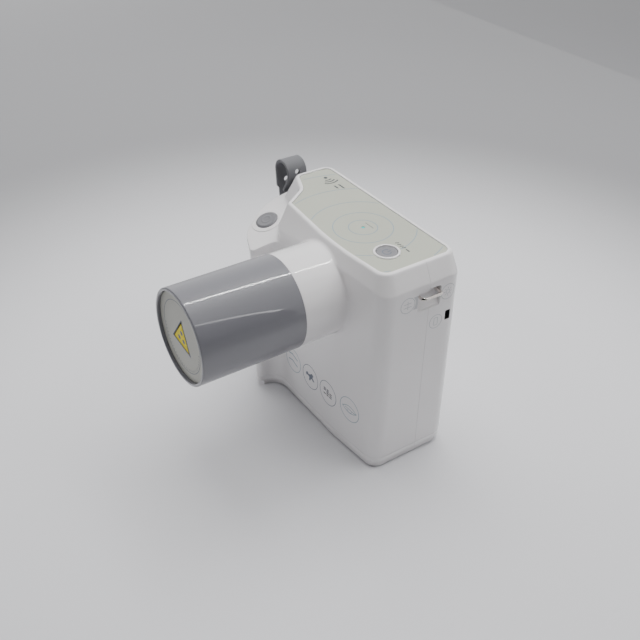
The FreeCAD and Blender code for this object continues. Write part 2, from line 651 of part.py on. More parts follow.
def lug_shape(side, height):
    """Wire staple: two legs set in the pocket's floor, and a bar across in front of it."""
    surface = face_x(side)
    foot = surface - side * (DEPTH + 2.0)
    front = surface + side * REACH
    bend = 2.5
    near = PART_Y - HALF_SPAN
    far = PART_Y + HALF_SPAN
    knuckle = bend * (1 - math.sqrt(0.5))
    runs = [
        Part.LineSegment(Vector(foot, near, height), Vector(front - side * bend, near, height)),
        Part.Arc(Vector(front - side * bend, near, height),
                 Vector(front - side * knuckle, near + knuckle, height),
                 Vector(front, near + bend, height)),
        Part.LineSegment(Vector(front, near + bend, height), Vector(front, far - bend, height)),
        Part.Arc(Vector(front, far - bend, height),
                 Vector(front - side * knuckle, far - knuckle, height),
                 Vector(front - side * bend, far, height)),
        Part.LineSegment(Vector(front - side * bend, far, height), Vector(foot, far, height)),
    ]
    path = Part.Wire([run.toShape() for run in runs])
    profile = Part.Wire(Part.makeCircle(WIRE, Vector(foot, near, height), Vector(side, 0, 0)))
    return path.makePipeShell([profile], True, True)


for name, height, side in lug_places():
    leg_holes = [rod(WIRE + 0.02, (face_x(side) - side * 12, y, height), (face_x(side), y, height))
                 for y in (PART_Y - HALF_SPAN, PART_Y + HALF_SPAN)]
    cup = pocket_space(side, height, 1.15).common(slab(inset(PLAN, 0.15), 0, 200))
    cup = cup.cut([pocket_space(side, height, 0.0)] + leg_holes)
    node("lug_pocket_" + name, solid(cup))
    node("strap_lug_" + name, solid(lug_shape(side, height)))

# strap centre line, seen along Y: moulded eye on the lower lug, up the outside of the grip,
# over in a tall bend above the upper lug and back down to a second eye
BAR_X = LEFT - REACH
LOW = size("lug_low")
HIGH = size("lug_height")
EYE_IN = BAR_X + 3.6                   # strap layer between the bar and the casing
EYE_OUT = BAR_X - 3.0
EYE_DROP = 4.0                         # bottom of an eye below its bar
STRAP_ROUTE = [
    (EYE_IN, LOW + 3.2, 0.0), (EYE_IN, LOW - EYE_DROP, 3.2), (EYE_OUT, LOW - EYE_DROP, 3.2),
    (BAR_X - 4.4, LOW + 1.0, 4.0), (-110.5, 55.0, 60.0), (-113.0, 100.0, 60.0),
    (-113.6, 140.0, 60.0), (-117.0, 172.7, 8.4), (-97.4, 172.7, 8.4), (-98.3, 161.5, 9.0),
    (BAR_X - 5.2, HIGH + 1.0, 4.0), (EYE_OUT, HIGH - EYE_DROP, 3.2), (EYE_IN, HIGH - EYE_DROP, 3.2),
    (EYE_IN, HIGH + 3.2, 0.0),
]


def side_route(route, distance):
    """The open route moved sideways to its left, its arcs kept concentric."""
    moved = []
    for index, (x, z, radius) in enumerate(route):
        before = route[max(index - 1, 0)]
        after = route[min(index + 1, len(route) - 1)]
        incoming = unit(x - before[0], z - before[1]) if index else None
        outgoing = unit(after[0] - x, after[1] - z) if index < len(route) - 1 else incoming
        incoming = incoming or outgoing
        share = distance / (1.0 + incoming[0] * outgoing[0] + incoming[1] * outgoing[1])
        turn = incoming[0] * outgoing[1] - incoming[1] * outgoing[0]
        new_radius = radius - distance if turn > 0 else radius + distance
        moved.append((x - (incoming[1] + outgoing[1]) * share,
                      z + (incoming[0] + outgoing[0]) * share, new_radius))
    return moved


def route_edges(route):
    """Straight runs and tangent arcs along an open route in the XZ plane."""
    edges = []
    last = Vector(route[0][0], 0, route[0][1])
    for index in range(1, len(route) - 1):
        start, middle, end = corner_arc(route[index - 1:index + 2], 1, 0)
        points = [Vector(point.x, 0, point.y) for point in (start, middle, end)]
        edges.append(Part.LineSegment(last, points[0]).toShape())
        edges.append(Part.Arc(*points).toShape())
        last = points[2]
    edges.append(Part.LineSegment(last, Vector(route[-1][0], 0, route[-1][1])).toShape())
    return edges


def ribbon(route, thick, width):
    """Flat band: the route thickened both ways, closed at its ends and drawn out along Y."""
    left = side_route(route, thick / 2)
    right = side_route(route, -thick / 2)[::-1]
    corner = [Vector(x, 0, z) for x, z, radius in (left[-1], right[0], right[-1], left[0])]
    edges = route_edges(left) + [Part.LineSegment(corner[0], corner[1]).toShape()]
    edges += route_edges(right) + [Part.LineSegment(corner[2], corner[3]).toShape()]
    band = Part.Face(Part.Wire(edges))
    band.translate(Vector(0, PART_Y - width / 2, 0))
    return band.extrude(Vector(0, width, 0))


strap = ribbon(STRAP_ROUTE, size("strap_thick"), size("strap_width"))
tongue = size("strap_tongue") / 2
for height in (LOW, HIGH):
    for near, far in ((-20, -tongue), (tongue, 20)):
        strap = strap.cut(block(-111.0, PART_Y + near, height - 8, -90, PART_Y + far, height + 3.6))
STRAP_HOLE = 2.5
for low_x, high_x, z in ((-104.0, -90.0, 166.2), (-120.0, -110.0, 153.5)):
    strap = strap.cut(rod(STRAP_HOLE, (low_x, PART_Y, z), (high_x, PART_Y, z)))
node("hand_strap", solid(strap))

# ---------------------------------------------------------------- check and export
doc.recompute()
for item in doc.Objects:
    if "Invalid" in item.State or "Error" in item.State:
        raise RuntimeError("%s (%s) failed: %s" % (item.Label, item.Name, item.State))
for label, item in nodes.items():
    shape = item.Shape
    if shape.isNull() or not shape.isValid() or not shape.Solids:
        raise RuntimeError("%s has no valid shape" % label)
    shape.exportStep("parts/%s.step" % label)
    print(label, len(shape.Solids), round(shape.Volume))
print(len(nodes), "nodes")
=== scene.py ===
"""Looks of a handheld intraoral X-ray unit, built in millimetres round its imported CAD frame."""

import json
import math

import bmesh
import bpy
import numpy as np
import openvdb
from mathutils import Matrix, Vector
from mathutils.bvhtree import BVHTree


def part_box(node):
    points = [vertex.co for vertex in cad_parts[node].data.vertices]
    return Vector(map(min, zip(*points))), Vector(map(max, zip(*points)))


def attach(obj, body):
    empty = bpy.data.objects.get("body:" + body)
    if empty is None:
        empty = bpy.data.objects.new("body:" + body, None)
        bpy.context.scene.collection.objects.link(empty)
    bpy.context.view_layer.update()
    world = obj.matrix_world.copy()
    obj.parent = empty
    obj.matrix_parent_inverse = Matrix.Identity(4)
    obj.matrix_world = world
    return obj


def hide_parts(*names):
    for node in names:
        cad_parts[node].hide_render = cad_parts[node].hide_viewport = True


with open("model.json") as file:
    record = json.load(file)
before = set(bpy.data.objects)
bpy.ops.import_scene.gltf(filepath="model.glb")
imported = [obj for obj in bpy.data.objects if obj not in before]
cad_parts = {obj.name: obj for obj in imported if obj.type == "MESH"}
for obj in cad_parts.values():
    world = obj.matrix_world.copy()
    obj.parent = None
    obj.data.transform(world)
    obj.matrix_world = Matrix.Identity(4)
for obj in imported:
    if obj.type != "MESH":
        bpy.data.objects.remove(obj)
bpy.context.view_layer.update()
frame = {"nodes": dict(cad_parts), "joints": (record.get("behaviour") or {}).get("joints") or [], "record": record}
nodes = frame["nodes"]
MM = 0.001


# ---- the frame, in millimetres
def low(node):
    return np.array(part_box(node)[0]) / MM


def high(node):
    return np.array(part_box(node)[1]) / MM


def middle(node):
    return (low(node) + high(node)) / 2


def half_width(node):
    return (high(node)[0] - low(node)[0]) / 2


def extent(node):
    return high(node) - low(node)


def corners_of(node):
    """Vertices of a node's mesh in millimetres."""
    return np.array([v.co for v in nodes[node].data.vertices]) / MM


def joint_axis(name):
    """Direction in which a button is pressed."""
    found = [joint for joint in frame["joints"] if joint["name"] == name]
    return np.array(found[0]["axis"], float)


RIGHT, BACK, RIM = high("front_shell")[0], high("rear_shell")[1], high("front_shell")[2]
LEFT = low("front_shell")[0]
SEAM = low("front_shell")[2]
PARTING = high("front_shell")[1]
PANEL_TOP = high("top_panel")[2]
PANEL_FLOOR = low("top_panel")[2]
AXIS = middle("exit_cone")[2]
COLLAR_FRONT = low("front_shell")[1]
COLLAR_RADIUS = 33.5
CONE_RADIUS = half_width("exit_cone")
CONE_END = low("exit_cone")[1]
POWER = middle("power_button")
POWER_RADIUS = 7.4
LENS = middle("status_lens")
LENS_HOLE = 1.4
PRESS = joint_axis("exposure_press")
KEYS = ("key_down", "key_menu", "key_set", "key_up")
LUGS = (("right", 1), ("left", -1), ("lower", -1))

# ---- outlines of the casing
# corners as x, y and fillet radius, counter-clockwise from above: upright walls, base, top rim,
# and the rim's outline FLARE_DROP lower on the sloping walls carried on downwards
PLAN = [
    (RIGHT, -20.0, 12.0), (RIGHT, BACK, 11.0), (LEFT, BACK, 11.0), (LEFT, -20.3, 22.0),
    (-61.7, -45.2, 4.3), (-61.7, -24.3, 12.0), (18.0, -24.3, 60.0),
]
# the grip's walls swell outwards towards its sloping top
GRIP_PLAN = PLAN[:2] + [
    (LEFT, BACK, 11.0), (LEFT, 9.0, 14.0), (LEFT - 2.4, 0.0, 10.0), (LEFT - 1.4, -13.0, 18.0),
    (-87.0, -34.5, 22.0), (-64.5, -43.3, 3.5), (-58.5, -24.3, 9.0), (18.0, -24.3, 60.0),
]
GRIP_START, GRIP_END = 104.0, 132.0
BASE_PLAN = PLAN[:3] + [(LEFT, -14.9, 22.0), (-61.7, -39.8, 1.8), (-61.7, -24.3, 11.5)] + PLAN[6:]
RIM_PLAN = [
    (59.5, -15.8, 9.0), (59.5, 45.5, 9.0), (-93.2, 45.5, 8.0), (-93.2, 13.9, 8.0),
    (-71.6, 5.2, 14.0), (-57.5, -14.8, 4.0), (8.0, -20.6, 250.0),
]
FLARE_PLAN = [
    (79.5, -29.0, 24.0), (79.0, 53.0, 18.0), (-109.1, 53.0, 17.0), (-109.1, -2.3, 15.0),
    (-81.9, -6.6, 2.0), (-63.0, -31.0, 14.0), (-8.0, -40.0, 200.0),
]
# walls of the body where they stand above the grip
CORE_PLAN = PLAN[:2] + [
    (LEFT, BACK, 11.0), (LEFT, 12.0, 8.0), (-85.0, -5.0, 8.0), (-56.0, -24.3, 18.0), (18.0, -24.3, 60.0),
]
FLARE_DROP = 39.0
RIM_LIP = 2.8
RAMP_LEVEL, RAMP_SLOPE, RAMP_LIMIT = 147.5, 0.38, 152.0
RAMP_COSINE = 1 / math.hypot(1, RAMP_SLOPE)


def unit(x, y):
    length = math.hypot(x, y)
    return x / length, y / length


def turns(corners):
    """Each corner with the directions into and out of it."""
    for index, (x, y, radius) in enumerate(corners):
        before, after = corners[index - 1], corners[(index + 1) % len(corners)]
        yield x, y, radius, unit(x - before[0], y - before[1]), unit(after[0] - x, after[1] - y)


def oblong(half_wide, half_tall, radius):
    """Rectangle with rounded corners, as an outline."""
    return [(half_wide, -half_tall, radius), (half_wide, half_tall, radius),
            (-half_wide, half_tall, radius), (-half_wide, -half_tall, radius)]


def inset(corners, distance):
    """The outline moved inwards, its arcs kept concentric."""
    moved = []
    for x, y, radius, (ax, ay), (bx, by) in turns(corners):
        share = distance / (1 + ax * bx + ay * by)
        grown = radius - distance if ax * by - ay * bx > 0 else radius + distance
        moved.append((x - (ay + by) * share, y + (ax + bx) * share, max(grown, 0.4)))
    return moved


def rounded(corners, steps=10):
    """Points of the closed outline: straight runs joined by tangent arcs."""
    points = []
    for x, y, radius, (ax, ay), (bx, by) in turns(corners):
        turn = math.atan2(ax * by - ay * bx, ax * bx + ay * by)
        reach = radius * math.tan(abs(turn) / 2)
        side = math.copysign(1, turn)
        centre = (x - ax * reach - side * ay * radius, y - ay * reach + side * ax * radius)
        for step in range(steps + 1):
            angle = math.atan2(-side * ax, side * ay) + turn * step / steps
            points.append((centre[0] + radius * math.cos(angle), centre[1] + radius * math.sin(angle)))
    return np.array(points)


# ---- distance fields of the casing
def outline_distance(points, x, y):
    """Signed distance from grid points to a closed outline, negative inside."""
    best = np.full(x.shape, 1e9, np.float32)
    inside = np.zeros(x.shape, bool)
    for (px, py), (qx, qy) in zip(points, np.roll(points, -1, axis=0)):
        ex, ey = qx - px, qy - py
        length = ex * ex + ey * ey
        if length < 1e-9:
            continue
        share = np.clip(((x - px) * ex + (y - py) * ey) / length, 0, 1)
        best = np.minimum(best, (x - px - ex * share) ** 2 + (y - py - ey * share) ** 2)
        inside ^= ((py > y) != (qy > y)) & (x < ex * (y - py) / (ey or 1e-9) + px)
    return np.sqrt(best) * np.where(inside, -1, 1)


def joined(a, b, radius):
    """Union of two fields with a fillet between them."""
    corner = np.hypot(np.maximum(radius - a, 0), np.maximum(radius - b, 0))
    return np.maximum(radius, np.minimum(a, b)) - corner


def common(a, b, radius):
    """Intersection of two fields with a rounded edge."""
    return -joined(-a, -b, radius)


def fade(value, start, end):
    """0 at start, 1 at end, smooth between."""
    share = np.clip((value - start) / (end - start), 0, 1)
    return share * share * (3 - 2 * share)


CREASE = 0.3                          # rounding where the sloping band meets the walls
S_WALL = 1.2                          # fillet between the band and the grip's top
COLLAR_ROOT = 1.8
RIM_EDGE = 1.3
SEAM_EDGE = 0.8
GROOVE_RISE, GROOVE_DEPTH, GROOVE_HALF = 4.2, 0.4, 0.9    # shallow line round the foot of the shells
BAND_COSINE = 0.9


def casing_field(xs, ys, zs):
    """Signed distance to the closed casing on a grid of millimetre coordinates."""
    x, y = np.meshgrid(xs, ys, indexing="ij")
    x, y = x.astype(np.float32), y.astype(np.float32)
    plan = outline_distance(rounded(PLAN), x, y)
    swelling = outline_distance(rounded(GRIP_PLAN), x, y) - plan
    core = outline_distance(rounded(CORE_PLAN), x, y)
    rim, flare = rounded(RIM_PLAN), rounded(FLARE_PLAN)
    foot_fillet = 0.3 + S_WALL * fade(x, -50, -56) * fade(y, 13, 8)
    ramp_side = (RAMP_LEVEL + RAMP_SLOPE * y)
    field = np.empty((len(xs), len(ys), len(zs)), np.float32)
    lowest_band = None
    for index, z in enumerate(zs):
        share = min(max((RIM - z) / FLARE_DROP, -0.1), 1.0)
        if share < 1.0 or lowest_band is None:
            band = outline_distance(rim + (flare - rim) * share, x, y) * BAND_COSINE
            lowest_band = band if share == 1.0 else lowest_band
        else:
            band = lowest_band
        ramp = np.maximum((z - ramp_side) * RAMP_COSINE, z - RAMP_LIMIT)
        groove = GROOVE_DEPTH * max(0.0, 1 - ((z - SEAM - GROOVE_RISE) / GROOVE_HALF) ** 2)
        wall = plan + swelling * fade(z, GRIP_START, GRIP_END) + groove
        body = common(wall, joined(common(core, band, CREASE), ramp, foot_fillet), CREASE)
        collar = np.maximum(np.hypot(x, z - AXIS) - COLLAR_RADIUS, y + 10.0)
        body = joined(body, collar, COLLAR_ROOT)
        body = common(body, np.float32(z - RIM), RIM_EDGE)
        field[:, :, index] = common(body, np.float32(SEAM - z), SEAM_EDGE)
    return field


class Field:
    """A signed distance sampled on a regular grid."""

    def __init__(self, lowest, highest, step, formula):
        self.origin, self.step = np.array(lowest, float), step
        axes = [np.arange(a, b + step, step) for a, b in zip(lowest, highest)]
        self.values = formula(*axes)

    def sample(self, points):
        """Trilinear value at points in millimetres."""
        place = (points - self.origin) / self.step
        place = np.clip(place, 0, np.array(self.values.shape) - 1.001)
        cell = place.astype(int)
        part = (place - cell).astype(np.float32)
        total = np.zeros(len(points), np.float32)
        for corner in np.ndindex(2, 2, 2):
            weight = np.prod(np.where(corner, part, 1 - part), axis=1)
            total += weight * self.values[tuple((cell + corner).T)]
        return total

    def slope(self, points):
        """Unit direction in which the distance grows."""
        reach = self.step * 0.75
        sides = [self.sample(points + move) - self.sample(points - move)
                 for move in np.eye(3) * reach]
        slope = np.stack(sides, axis=1)
        return slope / np.maximum(np.linalg.norm(slope, axis=1, keepdims=True), 1e-9)

    def surface(self, level=0.0, adaptivity=0.0, settle=2):
        """Vertices and faces of the level surface, settled onto it."""
        grid = openvdb.FloatGrid(background=float(self.step * 3))
        grid.copyFromArray(np.ascontiguousarray(self.values))
        points, triangles, quads = grid.convertToPolygons(isovalue=level, adaptivity=adaptivity)
        points = points.astype(float) * self.step + self.origin
        for _ in range(settle):
            error = (self.sample(points) - level)[:, None]
            points -= np.clip(error, -self.step, self.step) * self.slope(points)
        faces = [tuple(face[::-1]) for face in triangles] + [tuple(face[::-1]) for face in quads]
        return points, faces


# ---- mesh helpers
def linked(name, data):
    """Object holding the data, in the scene."""
    obj = bpy.data.objects.new(name, data)
    bpy.context.scene.collection.objects.link(obj)
    return obj


def from_shape(name, shape):
    """Object of a bmesh, which is used up."""
    mesh = bpy.data.meshes.new(name)
    shape.to_mesh(mesh)
    shape.free()
    return linked(name, mesh)


def mesh_object(name, points, faces):
    """Object of a mesh given in millimetres."""
    mesh = bpy.data.meshes.new(name)
    mesh.from_pydata((np.asarray(points, float) * MM).tolist(), [], [list(map(int, f)) for f in faces])
    return linked(name, mesh)


def outward(obj):
    """Make every face point outwards, and weld coincident points."""
    shape = bmesh.new()
    shape.from_mesh(obj.data)
    bmesh.ops.remove_doubles(shape, verts=shape.verts, dist=1e-7)
    bmesh.ops.recalc_face_normals(shape, faces=shape.faces)
    shape.to_mesh(obj.data)
    shape.free()
    return obj


def smooth(obj, angle=32):
    """Smooth shading, kept crisp across edges sharper than the angle."""
    obj.data.polygons.foreach_set("use_smooth", [True] * len(obj.data.polygons))
    obj.data.set_sharp_from_angle(angle=math.radians(angle))
    weighted = obj.modifiers.new("weighted", "WEIGHTED_NORMAL")
    weighted.keep_sharp = True
    return obj


def lofted(name, loops, closed=False):
    """Solid through loops of points in order: capped at both ends, or closed on itself."""
    count = len(loops[0])
    points = np.concatenate(loops)
    pairs = list(zip(range(len(loops) - 1), range(1, len(loops))))
    if closed:
        pairs.append((len(loops) - 1, 0))
    faces = [(a * count + i, a * count + (i + 1) % count, b * count + (i + 1) % count, b * count + i)
             for a, b in pairs for i in range(count)]
    if not closed:
        faces.append(tuple(range(count))[::-1])
        faces.append(tuple(range((len(loops) - 1) * count, len(loops) * count)))
    return outward(mesh_object(name, points, faces))


def turned(name, profile, centre, axis, steps=96):
    """Solid of revolution of a closed profile of (radius, height along the axis) points."""
    axis = np.array(axis, float) / np.linalg.norm(axis)
    side = np.cross(axis, (1, 0, 0) if abs(axis[0]) < 0.9 else (0, 1, 0))
    side /= np.linalg.norm(side)
    other = np.cross(axis, side)
    centre = np.array(centre, float)
    loops = []
    for step in range(steps):
        angle = 2 * math.pi * step / steps
        outwards = side * math.cos(angle) + other * math.sin(angle)
        loops.append(np.array([centre + axis * h + outwards * r for r, h in profile]))
    obj = lofted(name, loops, closed=True)
    shape = bmesh.new()
    shape.from_mesh(obj.data)
    bmesh.ops.dissolve_degenerate(shape, edges=shape.edges, dist=1e-7)
    stray = [edge for edge in shape.edges if not edge.link_faces]
    bmesh.ops.delete(shape, geom=stray, context="EDGES")
    shape.to_mesh(obj.data)
    shape.free()
    return obj


def arc(cx, cy, radius, start, end, steps=6):
    """Points of an arc in a profile, its angles in degrees."""
    angles = np.radians(np.linspace(start, end, steps + 1))
    return [(cx + radius * math.cos(a), cy + radius * math.sin(a)) for a in angles]


def upright(corners, height, steps=10):
    """An outline's points at one height."""
    flat = rounded(corners, steps)
    return np.column_stack([flat, np.full(len(flat), height)])


def boxed(name, lowest, highest, edge=0.0):
    """Box with rounded edges."""
    shape = bmesh.new()
    bmesh.ops.create_cube(shape, size=1.0)
    for vert in shape.verts:
        share = np.array(vert.co) + 0.5
        vert.co = (np.array(lowest) * (1 - share) + np.array(highest) * share) * MM
    if edge:
        bmesh.ops.bevel(shape, geom=shape.edges, offset=edge * MM, segments=3, affect="EDGES", profile=0.5)
    return from_shape(name, shape)


def merged(name, objects):
    """One object out of several."""
    shape = bmesh.new()
    for obj in objects:
        shape.from_mesh(obj.data)
        bpy.data.objects.remove(obj)
    return from_shape(name, shape)


def carve(obj, cutter, operation="DIFFERENCE"):
    """Boolean of obj with cutter, which is used up."""
    change = obj.modifiers.new("carve", "BOOLEAN")
    change.object = cutter
    change.operation = operation
    change.solver = "MANIFOLD"
    result = bpy.data.meshes.new_from_object(obj.evaluated_get(bpy.context.evaluated_depsgraph_get()))
    obj.modifiers.clear()
    obj.data = result
    bpy.data.objects.remove(cutter)
    return obj


def tube_loops(path, radius, steps=24):
    """Round sections square to a path."""
    path = np.array(path, float)
    along = np.gradient(path, axis=0)
    along /= np.linalg.norm(along, axis=1, keepdims=True)
    loops, side = [], np.cross(along[0], (0.0, 0.0, 1.0))
    for point, direction in zip(path, along):
        side = side - direction * (side @ direction)
        side /= np.linalg.norm(side)
        other = np.cross(direction, side)
        angles = np.linspace(0, 2 * math.pi, steps, endpoint=False)
        loops.append(point + radius * (np.outer(np.cos(angles), side) + np.outer(np.sin(angles), other)))
    return loops


def cylinder(name, radius, start, end, flare=0.0, steps=64):
    """Round rod from start to end, widened by flare at its end when given."""
    start, end = np.array(start, float), np.array(end, float)
    length = np.linalg.norm(end - start)
    profile = [(0, 0), (radius, 0), (radius, length)]
    if flare:
        edge = length - flare - 1.0
        profile = [(0, 0), (radius, 0)]
        profile += [(radius + flare - x, edge + y) for x, y in arc(0, 0, flare, 0, 90)]
        profile += [(radius + flare, edge + flare), (radius + flare, length)]
    profile.append((0, length))
    return turned(name, profile, start, end - start, steps)


def rod(radius, place, start, end, flare=0.0):
    """Upright cylinder at a place, from one height to another."""
    return cylinder("cut", radius, (place[0], place[1], start), (place[0], place[1], end), flare)


# ---- materials
def preset(node, **values):
    """Set a node's inputs by name, an underscore standing for a space."""
    for name, value in values.items():
        node.inputs[name.replace("_", " ")].default_value = value
    return node


def material(name, colour, roughness, metallic=0.0, coat=0.0, grain=900.0, relief=0.0002,
             tone=0.03, patch=14.0, glow=None, clear=0.0, sheen=0.0):
    """Procedural finish: colour with slow tone changes, uneven gloss and a fine moulded grain."""
    made = bpy.data.materials.new(name)
    made.use_nodes = True
    tree = made.node_tree
    shader = tree.nodes["Principled BSDF"]
    add, link = tree.nodes.new, tree.links.new
    place = add("ShaderNodeTexCoord")
    slow = preset(add("ShaderNodeTexNoise"), Scale=patch, Detail=3.0)
    link(place.outputs["Object"], slow.inputs["Vector"])
    colours = add("ShaderNodeValToRGB")
    colours.color_ramp.interpolation = "EASE"
    dark, light = colours.color_ramp.elements
    dark.position, light.position = 0.3, 0.7
    dark.color = tuple(c * (1 - tone) for c in colour) + (1,)
    light.color = tuple(min(c * (1 + tone), 1) for c in colour) + (1,)
    link(slow.outputs["Fac"], colours.inputs["Fac"])
    link(colours.outputs["Color"], shader.inputs["Base Color"])
    fine = preset(add("ShaderNodeTexNoise"), Scale=grain, Detail=2.0)
    link(place.outputs["Object"], fine.inputs["Vector"])
    gloss = preset(add("ShaderNodeMapRange"), To_Min=roughness * 0.85, To_Max=min(roughness * 1.15, 1.0))
    link(slow.outputs["Fac"], gloss.inputs["Value"])
    link(gloss.outputs["Result"], shader.inputs["Roughness"])
    bump = preset(add("ShaderNodeBump"), Strength=0.35, Distance=relief)
    link(fine.outputs["Fac"], bump.inputs["Height"])
    link(bump.outputs["Normal"], shader.inputs["Normal"])
    preset(shader, Metallic=metallic, Coat_Weight=coat, Coat_Roughness=0.04,
           Transmission_Weight=clear, Sheen_Weight=sheen)
    if glow:
        preset(shader, Emission_Color=glow[:3] + (1,), Emission_Strength=glow[3])
    return made


FINE = 0.00003
SLOTS = {
    "casing": material("casing_white", (0.87, 0.85, 0.858), 0.38, coat=0.9, grain=1400, relief=FINE,
                       tone=0.012),
    "cone_grey": material("cone_grey", (0.165, 0.165, 0.186), 0.36, coat=0.9, grain=1200, relief=FINE,
                          tone=0.012),
    "panel_film": material("panel_film", (0.455, 0.47, 0.395), 0.42, grain=2400, relief=FINE),
    "window_film": material("window_film", (0.47, 0.47, 0.42), 0.4, grain=2400, relief=FINE),
    "button_grey": material("button_grey", (0.215, 0.215, 0.23), 0.45, grain=1600, relief=0.00006),
    "foot_rubber": material("foot_rubber", (0.06, 0.06, 0.06), 0.8, grain=700, relief=0.0002),
    "strap_rubber": material("strap_rubber", (0.145, 0.147, 0.158), 0.62, grain=1500, relief=0.0001,
                             tone=0.06, sheen=0.15),
    "plated_steel": material("plated_steel", (0.72, 0.68, 0.64), 0.16, metallic=1, grain=700,
                             relief=0.00004),
    "black_plastic": material("black_plastic", (0.02, 0.02, 0.022), 0.4, grain=1400, relief=FINE),
    "circuit_board": material("circuit_board", (0.02, 0.16, 0.06), 0.45, coat=0.3, tone=0.2, patch=120),
    "lamp": material("lamp_teal", (0.03, 0.50, 0.50), 0.2, coat=0.5, glow=(0.02, 0.55, 0.53, 0.35)),
    "lead": material("lead_grey", (0.20, 0.20, 0.22), 0.6, metallic=0.8, tone=0.1),
    "aluminium": material("aluminium_turned", (0.78, 0.78, 0.79), 0.32, metallic=1),
    "tank_paint": material("tank_paint", (0.35, 0.37, 0.38), 0.5, tone=0.06),
    "tube_glass": material("tube_glass", (0.85, 0.92, 0.92), 0.05, clear=0.9),
    "copper": material("copper", (0.80, 0.42, 0.28), 0.3, metallic=1, tone=0.08),
    "brass": material("brass_turned", (0.78, 0.60, 0.30), 0.28, metallic=1),
    "ferrite": material("ferrite_black", (0.05, 0.05, 0.055), 0.55),
    "cell_wrap": material("cell_wrap", (0.08, 0.22, 0.45), 0.35, coat=0.3),
    "screen_glass": material("screen_glass", (0.008, 0.009, 0.011), 0.08, coat=1.0, tone=0.2),
}


def ink(name, colour, roughness=0.5):
    """Material of a printed mark."""
    return material("print_" + name, colour, roughness, grain=3000, relief=FINE)


PRINT_DARK = ink("dark", (0.045, 0.05, 0.065))
PRINT_PALE = ink("pale_grey", (0.46, 0.48, 0.50))
PRINT_LINE = ink("line_blue", (0.27, 0.35, 0.41))
PRINT_YELLOW = ink("yellow", (1.0, 0.80, 0.0), 0.6)
PRINT_SLATE = ink("slate", (0.13, 0.15, 0.20))
PRINT_WHITE = ink("white", (0.72, 0.73, 0.72))
PRINT_TAB = ink("tab_grey", (0.55, 0.55, 0.57), 0.45)

for row in frame["record"]["subparts"]:
    mesh = nodes[row["node"]].data
    mesh.materials.clear()
    mesh.materials.append(SLOTS[row["material_slot"]])


def fitted(obj, slot, body, *replaced, paint=None, angle=32):
    """Finish a piece: shading, material, the body it rides on and the nodes it stands for."""
    smooth(obj, angle)
    obj.data.materials.clear()
    obj.data.materials.append(paint or SLOTS[slot])
    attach(obj, body)
    if replaced:
        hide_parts(*replaced)
    return obj


# ---- casing
CASING_STEP = 0.5
CAVITY_STEP = 1.6
WALL = 2.5
ROOF = PANEL_FLOOR - 2.5
FLOOR = SEAM + 2.4
LIP_EDGE = 0.5
margin = np.array([3.0, 3.0, 3.0])
casing_low = np.array([LEFT, COLLAR_FRONT - 4, SEAM]) - margin
casing_high = np.array([RIGHT, BACK, RIM]) + margin
casing_shape = Field(casing_low, casing_high, CASING_STEP, casing_field)


def trigger_frame():
    """Centre of the exposure button's top face, and its axis outwards."""
    axis = -PRESS / np.linalg.norm(PRESS)
    points = corners_of("exposure_button")
    along = points @ axis
    top = points[along > along.max() - 0.02]
    return (top.min(axis=0) + top.max(axis=0)) / 2, axis


TRIGGER_TOP, TRIGGER_AXIS = trigger_frame()
TRIGGER_RADIUS = 8.4
TRIGGER_RISE = 1.5
TRIGGER_BASE = TRIGGER_TOP - TRIGGER_AXIS * TRIGGER_RISE     # on the grip's sloping top
BOSS_RADIUS = 12.4
BOSS_RISE = 0.5


def boss_field(xs, ys, zs):
    """Raised disc round the exposure button, kept just inside the grip's walls."""
    x, y, z = np.meshgrid(xs, ys, zs, indexing="ij")
    points = np.stack([x, y, z], axis=-1).reshape(-1, 3)
    away = points - TRIGGER_BASE
    height = away @ TRIGGER_AXIS
    radius = np.linalg.norm(away - np.outer(height, TRIGGER_AXIS), axis=1)
    disc = common(radius - BOSS_RADIUS, np.abs(height + 2) - BOSS_RISE - 2, 0.3)
    walls = casing_shape.sample(points) - BOSS_RISE
    plan = outline_distance(rounded(inset(GRIP_PLAN, 0.9)), points[:, 0], points[:, 1])
    return np.maximum(common(disc, plan, 0.3), walls - 1.0).reshape(x.shape).astype(np.float32)


def cavity_field(xs, ys, zs):
    """Hollow inside the casing's walls."""
    hollow = casing_field(xs, ys, zs) + WALL
    return np.maximum(hollow, np.maximum(zs - ROOF, FLOOR - zs)[None, None, :])


def flared(corners, floor, top, edge):
    """Loops of a recess from floor up, its rim rounded over outwards at top."""
    loops = [upright(corners, floor), upright(corners, top - edge)]
    for angle in np.radians([22.5, 45, 67.5, 90]):
        outer = inset(corners, -edge * (1 - math.cos(angle)))
        loops.append(upright(outer, top - edge + edge * math.sin(angle)))
    loops.append(upright(inset(corners, -edge), top + 1.0))
    return loops


def lying(loops, centre, inwards, sideways):
    """Loops drawn upright turned to look into a wall: depth along inwards, x along sideways."""
    inwards, sideways = np.array(inwards, float), np.array(sideways, float)
    upwards = np.cross(sideways, inwards)
    return [centre + np.outer(loop[:, 0], sideways) + np.outer(loop[:, 1], upwards)
            - np.outer(loop[:, 2], inwards) for loop in loops]


def recess(name, centre, inwards, sideways, wide, tall, corner, depth, edge):
    """Cutter for a rounded rectangular recess, centred on a wall's surface."""
    loops = flared(oblong(wide / 2, tall / 2, corner), -depth, 0.0, edge)
    return lofted(name, lying(loops, centre, inwards, sideways))


POCKET_WIDE, POCKET_TALL, POCKET_DROP = 18.8, 15.0, 3.5
POCKET_DEPTH = 6.0
PORT = middle("charge_port")
PORT_WIDE, PORT_TALL = 4.6, 8.2


def pocket_centre(name, side):
    bar = middle("strap_lug_" + name)
    return np.array([RIGHT if side > 0 else LEFT, PARTING, bar[2] - POCKET_DROP])


